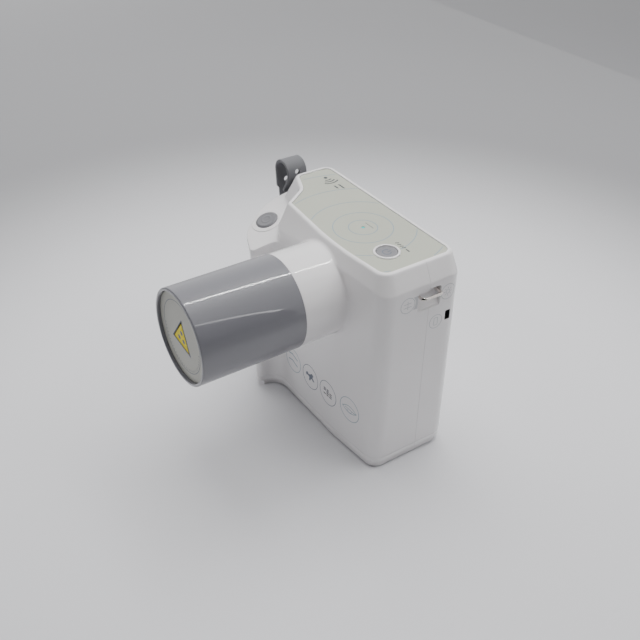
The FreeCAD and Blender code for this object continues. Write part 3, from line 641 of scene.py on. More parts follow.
def cutters():
    """Everything cut out of the casing, as overlapping solids taken one by one."""
    yield lofted("cut", flared(inset(RIM_PLAN, RIM_LIP), PANEL_FLOOR, RIM, LIP_EDGE))
    yield rod(POWER_RADIUS + 0.25, POWER, ROOF - 5, RIM)
    yield rod(LENS_HOLE, LENS, ROOF - 5, RIM)
    yield cylinder("cut", TRIGGER_RADIUS + 0.4, TRIGGER_BASE - TRIGGER_AXIS * 12,
                   TRIGGER_BASE + TRIGGER_AXIS * (BOSS_RISE + 1.35), flare=0.35)
    yield cylinder("cut", TRIGGER_RADIUS + 1.1, TRIGGER_BASE - TRIGGER_AXIS * 14,
                   TRIGGER_BASE - TRIGGER_AXIS * 2.7)
    for name, side in LUGS:
        yield recess("cut", pocket_centre(name, side), (-side, 0, 0), (0, side, 0),
                     POCKET_WIDE + 0.3, POCKET_TALL + 0.3, 2.0, 8.5, 0.5)
    yield recess("cut", np.array([RIGHT, PORT[1], PORT[2]]), (-1, 0, 0), (0, 1, 0),
                 PORT_WIDE, PORT_TALL, 0.7, 12.0, 0.4)
    window = middle("screen_window")
    window[1] = BACK
    screen = (("screen_window", 0.4, 3.2, 1.7, 0.3), ("screen_module", 1, 1.0, 9.0, 0.1))
    for node, gap, corner, depth, edge in screen:
        size = extent(node) + gap
        yield recess("cut", window, (0, -1, 0), (-1, 0, 0), size[0], size[2], corner, depth, edge)
    for name in KEYS:
        key = middle(name)
        radius = half_width(name) - 1
        yield cylinder("cut", radius + 0.25, (key[0], BACK - 8, key[2]), (key[0], BACK + 1, key[2]),
                       flare=0.3)
    for x, z in screw_places("rear_screws", 0, 2):
        yield cylinder("cut", SCREW_SEAT, (x, BACK - 5, z), (x, BACK + 1, z), flare=0.35)
    yield cylinder("cut", COLLAR_RADIUS - 2.3, (0, -15, AXIS), (0, COLLAR_FRONT - 8, AXIS), steps=128)
    yield boxed("cut", (-72, -10, SEAM - 2), (44, 30, FLOOR + 1))
    yield collar_trim()


SCREW_SEAT = 3.3
CLUSTER = 13.0                         # vertices of one screw or foot lie closer together than this


def screw_places(node, first, second):
    """Centres of the screws or feet of a node, read from where its vertices cluster."""
    places = []
    points = corners_of(node)
    for point in points[:, [first, second]]:
        near = [p for p in places if np.hypot(*(p[0] - point)) < CLUSTER]
        if near:
            near[0].append(point)
        else:
            places.append([point])
    spans = [(np.min(group, axis=0) + np.max(group, axis=0)) / 2 for group in places]
    return [tuple(place) for place in spans]


def collar_trim():
    """Cutter that squares off the collar's front and rounds its outer edge."""
    edge, far = 0.6, 12.0
    profile = [(0, 0), (COLLAR_RADIUS - edge, 0)]
    profile += [(COLLAR_RADIUS - edge + x, -edge + y) for x, y in arc(0, 0, edge, 90, 0)][1:]
    profile += [(COLLAR_RADIUS + 4, -edge), (COLLAR_RADIUS + 4, far), (0, far)]
    return turned("cut", profile, (0, COLLAR_FRONT, AXIS), (0, -1, 0), 192)


def build_casing():
    """Front and rear casing: smooth hollow shells parted by a hairline seam."""
    casing = outward(mesh_object("casing", *casing_shape.surface(adaptivity=0.02)))
    reach = BOSS_RADIUS + 3
    boss = Field(TRIGGER_BASE - reach, TRIGGER_BASE + reach, 0.3, boss_field)
    carve(casing, outward(mesh_object("boss", *boss.surface(adaptivity=0.01))), "UNION")
    hollow = Field(casing_low, casing_high, CAVITY_STEP, cavity_field)
    carve(casing, outward(mesh_object("hollow", *hollow.surface(adaptivity=0.05))))
    for cutter in cutters():
        carve(casing, cutter)
    far = 200.0
    rear = casing.copy()
    rear.data = casing.data.copy()
    bpy.context.scene.collection.objects.link(rear)
    carve(casing, boxed("cut", (-far, PARTING - SEAM_GAP / 2, -far), (far, far, far * 2)))
    carve(rear, boxed("cut", (-far, -far, -far), (far, PARTING + SEAM_GAP / 2, far * 2)))
    casing.name, rear.name = "casing_front", "casing_rear"
    fitted(casing, "casing", "casing", "front_shell")
    fitted(rear, "casing", "casing", "rear_shell")
    return casing, rear


SEAM_GAP = 0.14
casing_front, casing_rear = build_casing()


# ---- base cover and feet
def rounded_slab(name, corners, floor, top, lower_edge, upper_edge, steps=10):
    """Solid of an outline between two heights, its lower and upper edges rounded."""
    loops = []
    for angle in np.radians([90, 67.5, 45, 22.5, 0]):
        step = lower_edge * (1 - math.cos(angle))
        loops.append(upright(inset(corners, step), floor + lower_edge * (1 - math.sin(angle)), steps))
    for angle in np.radians([0, 22.5, 45, 67.5, 90]):
        step = upper_edge * (1 - math.cos(angle))
        loops.append(upright(inset(corners, step), top - upper_edge * (1 - math.sin(angle)), steps))
    return lofted(name, loops)


def build_base():
    """Base cover with a rounded lower edge, seats for its feet, screws and tripod bush."""
    base = rounded_slab("base_plate", inset(BASE_PLAN, BASE_SETBACK), 0.0, SEAM - 0.02, 1.2, 0.3)
    rib = [(41, -8, 5), (41, 28, 5), (-69, 28, 5), (-69, -6, 5)]
    carve(base, rounded_slab("rib", rib, SEAM - 1, SEAM + 3.5, 0.2, 0.4), "UNION")
    bush = middle("tripod_bush")
    bush_radius = half_width("tripod_bush")
    carve(base, rod(bush_radius + 3, bush, 2, 9.4), "UNION")
    carve(base, rod(bush_radius, bush, 12, -1, 0.4))
    for place in screw_places("base_feet", 0, 1):
        carve(base, rod(FOOT_RADIUS + 0.15, place, FOOT_THICK, -1, 0.25))
    for place in screw_places("base_screws", 0, 1):
        carve(base, rod(SCREW_SEAT, place, 2.6, -1, 0.25))
    return fitted(base, "casing", "casing", "base_cover")


def build_feet():
    """Round rubber feet with a soft edge and a grip groove."""
    profile = [(0, FOOT_THICK), (FOOT_RADIUS, FOOT_THICK)]
    profile += arc(FOOT_RADIUS - 0.5, 0.5, 0.5, 0, -90, 4)
    profile += [(3.4, 0), (3.25, 0.3), (2.85, 0.3), (2.7, 0), (0, 0)]
    feet = [turned("foot", profile, (x, y, 0), (0, 0, 1), 64) for x, y in screw_places("base_feet", 0, 1)]
    return fitted(merged("rubber_feet", feet), "foot_rubber", "casing", "base_feet")


FOOT_RADIUS, FOOT_THICK = 5.0, 1.5
BASE_SETBACK = 2.2                     # of the base plate's side behind the shells' foot
build_base()
build_feet()


# ---- top panel, power button, lens
def build_panel():
    """Printed film panel set in the rim, with holes for the power ring and the lens."""
    panel = rounded_slab("panel_film", inset(RIM_PLAN, RIM_LIP + 0.12), PANEL_FLOOR, PANEL_TOP, 0.05, 0.18)
    carve(panel, rod(half_width("power_ring") + 0.04, POWER, PANEL_FLOOR - 1, PANEL_TOP + 1))
    carve(panel, rod(LENS_HOLE, LENS, PANEL_FLOOR - 1, PANEL_TOP + 1))
    return fitted(panel, "panel_film", "casing", "top_panel")


def build_power():
    """White ring, and the dished grey button inside it."""
    outer = half_width("power_ring")
    inner, top = POWER_RADIUS + 0.25, high("power_ring")[2]
    profile = [(inner, PANEL_FLOOR), (outer, PANEL_FLOOR)]
    profile += arc(outer - 0.8, top - 0.8, 0.8, 0, 90) + arc(inner + 0.45, top - 0.45, 0.45, 90, 180)
    ring = turned("power_ring_moulded", profile, (POWER[0], POWER[1], 0), (0, 0, 1), 128)
    fitted(ring, "casing", "casing", "power_ring")
    base, top = low("power_button")[2], high("power_button")[2]
    profile = [(0, base), (1.6, base), (1.6, base + 1.2), (POWER_RADIUS + 1.2, base + 1.2),
               (POWER_RADIUS + 1.2, base + 2.6), (POWER_RADIUS, base + 2.6)]
    profile += arc(POWER_RADIUS - 0.7, top - 0.7, 0.7, 0, 90)
    dish = POWER_RADIUS - 1.3
    profile += [(dish * (1 - t), top - DISH * math.sin(t * math.pi / 2)) for t in np.linspace(0, 1, 9)]
    cap = turned("power_cap", profile, (POWER[0], POWER[1], 0), (0, 0, 1), 128)
    fitted(cap, "button_grey", "power_button", "power_button")
    base, top = low("status_lens")[2], high("status_lens")[2]
    dome = [(0, base), (1.3, base), (1.3, top - 0.5)]
    dome += [(1.3 * math.cos(a), top - 0.5 + 0.5 * math.sin(a)) for a in np.radians([22, 45, 67, 90])]
    lens = turned("status_dome", dome, (LENS[0], LENS[1], 0), (0, 0, 1), 48)
    fitted(lens, "lamp", "casing", "status_lens")


DISH = 0.35
build_panel()
build_power()


# ---- exposure button
def build_trigger():
    """Satin grey button with a chamfered rim, a dished top and a raised ring mark."""
    r, top = TRIGGER_RADIUS, TRIGGER_RISE
    stem = -6.2
    profile = [(0, stem), (2.0, stem), (2.0, -4.4), (r + 0.7, -4.4), (r + 0.7, -3.0), (r, -3.0)]
    profile += arc(r - 0.35, top - 1.0, 0.35, 0, 45, 3) + arc(r - 1.35, top - 0.35, 0.35, 45, 90, 3)
    mark = 3.4
    dished = [(x, top - 0.3 * (1 - (x / (r - 1.6)) ** 2)) for x in np.linspace(r - 1.9, mark + 0.7, 5)]
    level = dished[-1][1]
    dished += [(mark + 0.25, level + 0.22), (mark - 0.25, level + 0.22), (mark - 0.7, level - 0.02)]
    dished += [(x, level - 0.03) for x in (1.6, 0.8)] + [(0, level - 0.03)]
    cap = turned("exposure_cap", profile + dished, TRIGGER_BASE, TRIGGER_AXIS, 128)
    return fitted(cap, "button_grey", "exposure_button", "exposure_button", angle=40)


build_trigger()


# ---- exit cone and window
CONE_WALL = 2.3
WINDOW_FACE = low("exit_window")[1]
CONE_CENTRE = np.array([0, 0, AXIS])


def build_cone():
    """Glossy tube with a rolled front lip and a fine chamfer where it meets the collar."""
    front, back = -CONE_END, -COLLAR_FRONT
    inner, spigot = CONE_RADIUS - CONE_WALL, COLLAR_RADIUS - 2.35
    profile = [(spigot - 2.2, back - 14), (spigot, back - 14), (spigot, back + 0.05)]
    profile += [(CONE_RADIUS - 0.5, back + 0.05)] + arc(CONE_RADIUS - 0.5, back + 0.55, 0.5, -90, 0, 4)
    profile += [(CONE_RADIUS, back + 0.9), (CONE_RADIUS, front - 1.3)]
    profile += arc(CONE_RADIUS - 0.9, front - 0.9, 0.9, 0, 90, 8)
    profile += arc(inner + 0.7, front - 0.7, 0.7, 90, 180, 6)
    profile += [(inner, back + 4), (spigot - 2.2, back + 2)]
    cone = turned("exit_tube", profile, CONE_CENTRE, (0, -1, 0), 256)
    return fitted(cone, "cone_grey", "casing", "exit_cone")


def build_window():
    """Film-faced exit window deep in the lip."""
    radius = half_width("exit_window")
    face, back = -WINDOW_FACE, -high("exit_window")[1]
    profile = [(0, back), (radius, back)] + arc(radius - 0.25, face - 0.25, 0.25, 0, 90) + [(0, face)]
    disc = turned("exit_film", profile, CONE_CENTRE, (0, -1, 0), 192)
    return fitted(disc, "window_film", "casing", "exit_window")


build_cone()
build_window()


# ---- screen window and keys
def build_back():
    """Glass window with rounded corners, and four proud keys."""
    centre, size = middle("screen_window"), extent("screen_window")
    slab = rounded_slab("window_glass", oblong(size[0] / 2, size[2] / 2, 3), -size[1], 0.0, 0.1, 0.35)
    points = np.array([v.co for v in slab.data.vertices]) / MM
    face = np.array([centre[0], high("screen_window")[1], centre[2]])
    moved = lying([points], face, (0, -1, 0), (-1, 0, 0))[0]
    slab.data.vertices.foreach_set("co", (moved * MM).ravel())
    fitted(outward(slab), "screen_glass", "casing", "screen_window")
    for name in KEYS:
        centre, radius, length = middle(name), half_width(name) - 1, extent(name)[1]
        profile = [(0, 0), (1.5, 0), (1.5, 1.2), (radius + 1, 1.2), (radius + 1, 2.4), (radius, 2.4)]
        profile += arc(radius - 0.6, length - 0.6, 0.6, 0, 90)
        profile += [(radius * t, length - 0.2 * (1 - t * t)) for t in (0.7, 0.5, 0.25, 0)]
        cap = turned(name + "_cap", profile, (centre[0], low(name)[1], centre[2]), (0, 1, 0), 64)
        fitted(cap, "button_grey", name, name)


build_back()


# ---- lug pockets, lugs and port
def scoop(centre, side):
    """Cutter of a pocket whose back slopes out to the wall at its foot."""
    half = POCKET_TALL / 2
    profile = [(3.0, half)] + arc(-POCKET_DEPTH + 1.2, half - 1.2, 1.2, 90, 180, 4)
    profile += [(-POCKET_DEPTH, POCKET_SLOPE), (-POCKET_DEPTH + 0.4, POCKET_SLOPE - 0.9),
                (-1.1, 0.9 - half), (-0.6, -half), (3.0, -half)]
    loops = []
    for y, pinch in ((-1, 0.9), (-0.97, 0.35), (-0.92, 0), (0.92, 0), (0.97, 0.35), (1, 0.9)):
        loops.append(np.array([(centre[0] + side * (depth + (pinch if depth < 0 else 0)),
                                centre[1] + y * POCKET_WIDE / 2,
                                centre[2] + z * (1 - pinch / half)) for depth, z in profile]))
    return lofted("cut", loops)


def build_lugs():
    """Moulded pockets, each with a bent wire staple standing in it."""
    for name, side in LUGS:
        centre, inwards = pocket_centre(name, side), (-side, 0, 0)
        shell = 1.1
        cup_low = centre + np.array([0, -POCKET_WIDE / 2 - shell, -POCKET_TALL / 2 - shell])
        cup_high = centre + np.array([0, POCKET_WIDE / 2 + shell, POCKET_TALL / 2 + shell])
        ends = sorted((centre[0] - side * POCKET_SKIN, centre[0] - side * (POCKET_DEPTH + shell)))
        cup = boxed("pocket_" + name, (ends[0], cup_low[1], cup_low[2]), (ends[1], cup_high[1], cup_high[2]))
        carve(cup, scoop(centre, side))
        fitted(cup, "casing", "casing", "lug_pocket_" + name)
        bar_low, bar_high = low("strap_lug_" + name), high("strap_lug_" + name)
        wire = (bar_high[2] - bar_low[2]) / 2
        near, far = bar_low[1] + wire, bar_high[1] - wire
        front = bar_high[0] - wire if side > 0 else bar_low[0] + wire
        foot = bar_low[0] if side > 0 else bar_high[0]
        height, bend = (bar_low[2] + bar_high[2]) / 2, 2.5
        path = [(foot + (front - side * bend - foot) * t, near, height) for t in np.linspace(0, 1, 4)]
        for y, start, end in ((near + bend, -90, 0), (far - bend, 0, 90)):
            for dx, dy in arc(0, 0, bend, start, end, 8):
                path.append((front - side * bend + side * dx, y + dy, height))
        path += [(foot + (front - side * bend - foot) * t, far, height) for t in np.linspace(1, 0, 4)]
        keep = [path[0]] + [b for a, b in zip(path, path[1:]) if np.hypot(*(np.subtract(a, b)[:2])) > 0.01]
        lug = lofted("wire_lug_" + name, tube_loops(keep, wire))
        fitted(lug, "plated_steel", "casing", "strap_lug_" + name)


def build_port():
    """Dark rim that lines the charging slot round its socket."""
    wide, tall = PORT_WIDE / 2 - 0.04, PORT_TALL / 2 - 0.04
    liner = boxed("port_liner", (RIGHT - 9.0, PORT[1] - wide, PORT[2] - tall),
                  (RIGHT - 0.7, PORT[1] + wide, PORT[2] + tall), 0.2)
    hole = extent("charge_port") / 2 + 0.02
    carve(liner, boxed("cut", (RIGHT - 12.0, PORT[1] - hole[1], PORT[2] - hole[2]),
                       (RIGHT + 1.0, PORT[1] + hole[1], PORT[2] + hole[2])))
    fitted(liner, "black_plastic", "casing")


POCKET_SKIN = 0.6
POCKET_SLOPE = 1.5                     # a pocket's back slopes out to the wall from this far above its middle
build_port()
build_lugs()


# ---- hand strap
def strap_line():
    """Centre line of the strap in X and Z, with the arcs of its route."""
    bar_low, bar_high = middle("strap_lug_lower"), middle("strap_lug_left")
    bar = low("strap_lug_left")[0] + (high("strap_lug_left")[2] - low("strap_lug_left")[2]) / 2
    lower, upper = bar_low[2], bar_high[2]
    inner, outer, drop = bar + 3.6, bar - 3.0, 4.0
    route = [
        (inner, lower + 3.2, 0.0), (inner, lower - drop, 3.2), (outer, lower - drop, 3.2),
        (bar - 4.4, lower + 1.0, 4.0), (-110.5, 55.0, 60.0), (-113.0, 100.0, 60.0),
        (-113.6, 140.0, 60.0), (-117.0, 172.7, 8.4), (-97.4, 172.7, 8.4), (-98.3, 161.5, 9.0),
        (bar - 5.2, upper + 1.0, 4.0), (outer, upper - drop, 3.2), (inner, upper - drop, 3.2),
        (inner, upper + 3.2, 0.0),
    ]
    points = [route[0][:2]]
    for index in range(1, len(route) - 1):
        corner = rounded(route[index - 1:index + 2])
        points += corner[11:22].tolist()
    points.append(route[-1][:2])
    return np.array(points)


def evenly(points, spacing):
    """Points at even distances along a line."""
    lengths = np.concatenate([[0], np.cumsum(np.hypot(*np.diff(points, axis=0).T))])
    wanted = np.linspace(0, lengths[-1], int(lengths[-1] / spacing) + 1)
    return np.column_stack([np.interp(wanted, lengths, points[:, k]) for k in range(2)])


STRAP_WIDE, STRAP_THICK, STRAP_TONGUE = 17.0, 2.4, 13.2


def strap_section(width, thick, corner=0.75, bead=0.0):
    """Across and through coordinates of a soft-cornered band section."""
    half, deep = width / 2 - corner, thick / 2 - corner
    points = []
    for cx, cy, start in ((half, deep, 0), (-half, deep, 90), (-half, -deep, 180), (half, -deep, 270)):
        points += arc(cx, cy, corner, start, start + 90, 5)
        if start in (0, 180):
            sign = 1 if start == 0 else -1
            points += [(sign * half * t, cy + sign * (corner - bead)) for t in (0.9, 0.5, 0, -0.5, -0.9)]
    return np.array(points)


def build_strap():
    """Silicone hand strap: a soft-edged band with two moulded eyes and punched holes."""
    line = evenly(strap_line(), 0.9)
    along = np.gradient(line, axis=0)
    along /= np.linalg.norm(along, axis=1, keepdims=True)
    lugs = [middle("strap_lug_lower")[2], middle("strap_lug_left")[2]]
    loops = []
    for (x, z), (ax, az) in zip(line, along):
        eye = max(fade(z, lug - 9.5, lug - 8.5) * fade(z, lug + 4.4, lug + 1.8) for lug in lugs)
        width = STRAP_WIDE + (STRAP_TONGUE - STRAP_WIDE) * eye
        section = strap_section(width, STRAP_THICK, bead=0.12)
        loops.append(np.column_stack([x - section[:, 1] * az, PARTING + section[:, 0],
                                      z + section[:, 1] * ax]))
    strap = lofted("strap_band", loops)
    for start, end, height in ((-104.0, -90.0, 166.2), (-108.0, -122.0, 153.5)):
        carve(strap, cylinder("cut", 2.1, (start, PARTING, height), (end, PARTING, height)))
    return fitted(strap, "strap_rubber", "casing", "hand_strap", angle=40)


build_strap()


# ---- printed marks
# each mark is a thin solid laid on a surface; a shape is flat points and the faces between them
INK = 0.03                             # how far a print stands on its surface
SUNK = 0.06                            # and how far it reaches into it


def ribbon(points, width, closed=False, keep=None):
    """A line of even width; keep says which of its points are printed."""
    points = np.array(points, float)
    ahead = np.roll(points, -1, axis=0) if closed else np.vstack([points[1:], 2 * points[-1] - points[-2]])
    behind = np.roll(points, 1, axis=0) if closed else np.vstack([2 * points[0] - points[1], points[:-1]])
    into, out = points - behind, ahead - points
    into /= np.linalg.norm(into, axis=1, keepdims=True)
    out /= np.linalg.norm(out, axis=1, keepdims=True)
    across = np.column_stack([-(into + out)[:, 1], (into + out)[:, 0]])
    share = np.maximum((1 + (into * out).sum(axis=1))[:, None], 0.35)
    left, right = points + across / share * width / 2, points - across / share * width / 2
    count = len(points)
    shown = np.ones(count, bool) if keep is None else np.array([keep(p) for p in points])
    pairs = [(i, (i + 1) % count) for i in range(count if closed else count - 1)]
    faces = [(i, j, j + count, i + count) for i, j in pairs if shown[i] and shown[j]]
    return np.vstack([left, right]), faces


def circle(cx, cy, radius, width, keep=None, steps=96):
    angles = np.linspace(0, 2 * math.pi, steps, endpoint=False)
    line = np.column_stack([cx + radius * np.cos(angles), cy + radius * np.sin(angles)])
    return ribbon(line, width, closed=True, keep=keep)


def patch(points):
    """A filled outline."""
    return np.array(points, float), [tuple(range(len(points)))]


def spot(cx, cy, radius, steps=24):
    return patch(arc(cx, cy, radius, 0, 360, steps)[:-1])


def shifted(shapes, cx, cy, turn=0.0, scale=1.0):
    """Shapes turned by degrees, scaled and moved."""
    a = math.radians(turn)
    spin = np.array([[math.cos(a), math.sin(a)], [-math.sin(a), math.cos(a)]]) * scale
    return [(points @ spin + (cx, cy), faces) for points, faces in shapes]


def stamp(name, shapes, surface, paint, body="casing", slot="casing"):
    """Lay shapes on a surface, given as a function from flat points to points and normals."""
    shape = bmesh.new()
    for flat, faces in shapes:
        places, normals = surface(flat)
        used = sorted({i for face in faces for i in face})
        tops = {i: shape.verts.new((places[i] + normals[i] * INK) * MM) for i in used}
        feet = {i: shape.verts.new((places[i] - normals[i] * SUNK) * MM) for i in used}
        sides = {}
        for face in faces:
            shape.faces.new([tops[i] for i in face])
            shape.faces.new([feet[i] for i in reversed(face)])
            for i, j in zip(face, face[1:] + face[:1]):
                sides.pop((j, i)) if (j, i) in sides else sides.setdefault((i, j))
        for i, j in sides:
            shape.faces.new([tops[j], tops[i], feet[i], feet[j]])
    bmesh.ops.recalc_face_normals(shape, faces=shape.faces)
    return fitted(from_shape(name, shape), slot, body, paint=paint)


def plane(centre, across, upwards):
    """Surface function of a flat face."""
    centre, across, upwards = (np.array(v, float) for v in (centre, across, upwards))
    normal = np.cross(across, upwards)
    normal /= np.linalg.norm(normal)
    return lambda flat: (centre + np.outer(flat[:, 0], across) + np.outer(flat[:, 1], upwards),
                         np.tile(normal, (len(flat), 1)))


def cast(pieces, start, inwards, across, upwards):
    """Surface function that throws flat points onto pieces along inwards."""
    trees = [BVHTree.FromObject(piece, bpy.context.evaluated_depsgraph_get()) for piece in pieces]
    throw = plane(start, across, upwards)
    ray = Vector(inwards)

    def find(flat):
        places, normals = throw(flat)
        for index, place in enumerate(places):
            hits = [tree.ray_cast(Vector(place * MM), ray) for tree in trees]
            hits = [hit for hit in hits if hit[0] is not None]
            nearest = min(hits, key=lambda hit: hit[3])
            places[index], normals[index] = np.array(nearest[0]) / MM, -np.array(inwards, float)
        return places, normals
    return find


def panel_prints():
    """Faint rings round the lens, a wave mark in the far corner and dashes by the power button."""
    border = rounded(inset(RIM_PLAN, RIM_LIP + 1.0))
    ring_radius = half_width("power_ring") + 0.4

    def on_panel(point):
        inside = outline_distance(border, np.array([[point[0]]]), np.array([[point[1]]]))[0, 0] < 0
        return inside and math.dist(point, POWER[:2]) > ring_radius

    top = plane((0, 0, PANEL_TOP), (1, 0, 0), (0, 1, 0))
    rings = [circle(LENS[0], LENS[1], r, 0.65, on_panel, 240) for r in (10.2, 21.2, 37.4, 58.2, 83.4)]
    stamp("panel_rings", rings, top, PRINT_LINE, slot="panel_film")
    waves = [ribbon(arc(0, 0, r, -38, 38, 16), 1.1) for r in (4.2, 7.0, 9.8)] + [spot(0, 0, 1.5)]
    bars = [patch([(14, y), (14 + length, y), (14.8 + length, y + 1.3), (14.8, y + 1.3)])
            for y, length in ((1.6, 7.5), (-2.4, 5.0))]
    stamp("panel_wave_mark", shifted(waves + bars, -77, 31.5), top, PRINT_DARK, slot="panel_film")
    dashes = [ribbon([(x - 0.7, 17.0), (x + 0.7, 19.4)], 0.9) for x in (29.5, 32.0, 34.5, 37.0)]
    dashes += [ribbon([(39.4, 18.2), (43.0, 18.2)], 1.0)]
    stamp("panel_power_dashes", dashes, top, PRINT_DARK, slot="panel_film")
    ticks = [ribbon([(x, 16.4), (x + 1.1, 16.4)], 0.6) for x in (-4.2, -2.6, -1.0, 0.6, 2.2, 3.8)]
    stamp("panel_lens_ticks", ticks, top, PRINT_DARK, slot="panel_film")


def standby(radius, width):
    """Broken circle with an upright bar."""
    ring = arc(0, 0, radius, 125, 415, 32)
    return [ribbon(ring, width), ribbon([(0, radius * 0.25), (0, radius * 1.15)], width)]


def control_prints():
    """Standby mark in the power button's dish and symbols on the four keys."""
    top = high("power_button")[2]
    dish = POWER_RADIUS - 1.3

    def in_dish(flat):
        height = top - DISH * np.sin((1 - np.hypot(*flat.T) / dish) * math.pi / 2)
        places = np.column_stack([flat[:, 0] + POWER[0], flat[:, 1] + POWER[1], height])
        return places, np.tile([0.0, 0.0, 1.0], (len(flat), 1))

    stamp("power_mark", standby(2.9, 0.75), in_dish, PRINT_SLATE, "power_button", "button_grey")
    arrow = [patch([(-1.9, -0.9), (0, 1.6), (1.9, -0.9)][::-1])]
    lines = [ribbon([(-1.7, y), (1.7, y)], 0.5) for y in (-1.2, 0, 1.2)]
    tick = [ribbon([(-1.7, 0.1), (-0.5, -1.2), (1.8, 1.4)], 0.55)]
    marks = {"key_down": shifted(arrow, 0, 0, 180), "key_menu": lines, "key_set": tick, "key_up": arrow}
    for name, shapes in marks.items():
        key = middle(name)
        face = plane((key[0], high(name)[1] - 0.19, key[2]), (-1, 0, 0), (0, 0, 1))
        stamp(name + "_mark", shapes, face, PRINT_WHITE, name, "button_grey")
    glass = middle("screen_window")
    size = extent("screen_window")
    face = plane((glass[0], high("screen_window")[1], glass[2]), (-1, 0, 0), (0, 0, 1))
    x, y = size[0] / 2 - 5, size[2] / 2 - 4
    border = rounded(oblong(x, y, 1.5))
    stamp("screen_border", [ribbon(border, 0.35, closed=True)], face, PRINT_SLATE, slot="screen_glass")


def window_prints():
    """Guide circle on the exit window, and a plain bordered triangle with a round mark."""
    face = plane((0, WINDOW_FACE, AXIS), (1, 0, 0), (0, 0, 1))
    stamp("window_circle", [circle(0, 0, 25.6, 0.45, steps=160)], face, PRINT_SLATE, slot="window_film")
    ticks = [ribbon([(23.2 * x, 23.2 * y), (24.6 * x, 24.6 * y)], 0.4) for x, y in arc(0, 0, 1, 185, 359, 29)]
    stamp("window_ticks", ticks, face, PRINT_SLATE, slot="window_film")
    corners = arc(-0.6, -0.8, TRIANGLE, 83, 443, 3)[:3]
    shrink = [(-0.6 + (x + 0.6) * 0.86, -0.8 + (y + 0.8) * 0.86) for x, y in corners]
    stamp("window_triangle", [patch(shrink)], face, PRINT_YELLOW, slot="window_film")
    stamp("window_triangle_border", [ribbon(shrink, 1.7, closed=True)], face, PRINT_SLATE, slot="window_film")
    lobes = [spot(x, y, 1.7) for x, y in arc(-0.6, -0.8, 3.5, 83, 323, 2)]
    stamp("window_round_mark", lobes, raised(face, 0.02), PRINT_SLATE, slot="window_film")


def raised(surface, height):
    """The surface moved outwards."""
    def lifted(flat):
        places, normals = surface(flat)
        return places + normals * height, normals
    return lifted


TRIANGLE = 15.6


def wall_prints():
    """Ringed pictograms along the foot of the front wall and on the right-hand end."""
    both = [casing_front, casing_rear]
    front = cast(both, (0, COLLAR_FRONT, 0), (0, 1, 0), (1, 0, 0), (0, 0, 1))
    places = ((-36.0, 39.5), (-11.6, 39.3), (12.3, 40.1), (38.0, 42.0))
    rings = [circle(x, z, 10.4, 0.5, steps=72) for x, z in places]
    stamp("front_rings", rings[:1] + rings[3:], front, PRINT_LINE)
    stamp("front_rings_dark", rings[1:3], front, PRINT_SLATE)
    strokes = [ribbon([(-6.5, 4.5 - drop), (-1.5, 5.5 - drop), (6.0, 3.0 - drop)], 1.0) for drop in (0, 6.0)]
    spray = [(-6.8, 0.8), (-4.6, 3.2), (-2.6, 1.6), (-0.2, 2.6), (2.4, 4.8), (4.4, 3.4), (3.2, 1.0),
             (6.0, -1.6), (4.4, -2.4), (1.4, -0.9), (-0.4, -4.2), (-2.0, -3.8), (-1.4, -0.8),
             (-3.8, -0.2), (-5.6, -0.9)]
    spaces = ((2.4, 2.4), (-5.6, -1.2))
    bars = [patch([(x, y), (x + 3.0, y), (x + 3.0, y + 1.15), (x, y + 1.15)])
            for y in (2.4, 0.6, -1.2, -3.0) for x in (-5.6, -1.6, 2.4) if (x, y) not in spaces]
    leaf = [ribbon(arc(0, -7.2, 10.2, 40, 140, 16), 0.5), ribbon(arc(0, 7.2, 10.2, 220, 320, 16), 0.5),
            ribbon([(-5.0, 0.4), (7.0, -0.6)], 0.5), ribbon(arc(0, 0.2, 3.0, 200, 340, 10), 0.45)]
    stamp("front_mark_lines", shifted(strokes, *places[0]), front, PRINT_LINE)
    stamp("front_mark_spray", shifted([patch(spray)], *places[1], scale=0.95), front, PRINT_SLATE)
    stamp("front_mark_bars", shifted(bars, *places[2], scale=0.95), front, PRINT_DARK)
    stamp("front_mark_leaf", shifted(leaf, *places[3]), front, PRINT_LINE)
    end = cast(both, (RIGHT + 6, 0, 0), (-1, 0, 0), (0, 1, 0), (0, 0, 1))
    spots = ((0.6, 142.5, 5.8), (35.0, 141.7, 5.9), (26.6, 120.0, 5.4))
    stamp("end_rings", [circle(y, z, r, 0.4, steps=64) for y, z, r in spots], end, PRINT_PALE)
    sun = [circle(0, 0, 1.6, 0.35, steps=32)]
    sun += [ribbon([(2.4 * c, 2.4 * d), (3.6 * c, 3.6 * d)], 0.35) for c, d in arc(0, 0, 1, 0, 315, 7)]
    plug = [ribbon([(-3.2, 1.4), (3.2, 1.4)], 0.4), ribbon([(-3.2, -1.4), (3.2, -1.4)], 0.4),
            ribbon([(0, -3.2), (0, 3.2)], 0.35)]
    cell = [ribbon(rounded(oblong(1.6, 3, 0.5), 3), 0.35, closed=True)]
    marks = [shifted(art, y, z) for art, (y, z, r) in zip((plug, sun, cell), spots)]
    stamp("end_marks", sum(marks, []), end, PRINT_PALE)
    tab = [(6.7, 137.4), (8.9, 137.4), (8.9, 147.4), (4.6, 147.4)] + arc(0.6, 142.5, 6.6, 46, -46, 10)
    stamp("end_tab", [patch(tab[::-1])], end, PRINT_TAB)


panel_prints()
control_prints()
window_prints()
wall_prints()


# ---- floor, lights and camera
BACKDROP = 0.36                        # tone of everything behind the floor


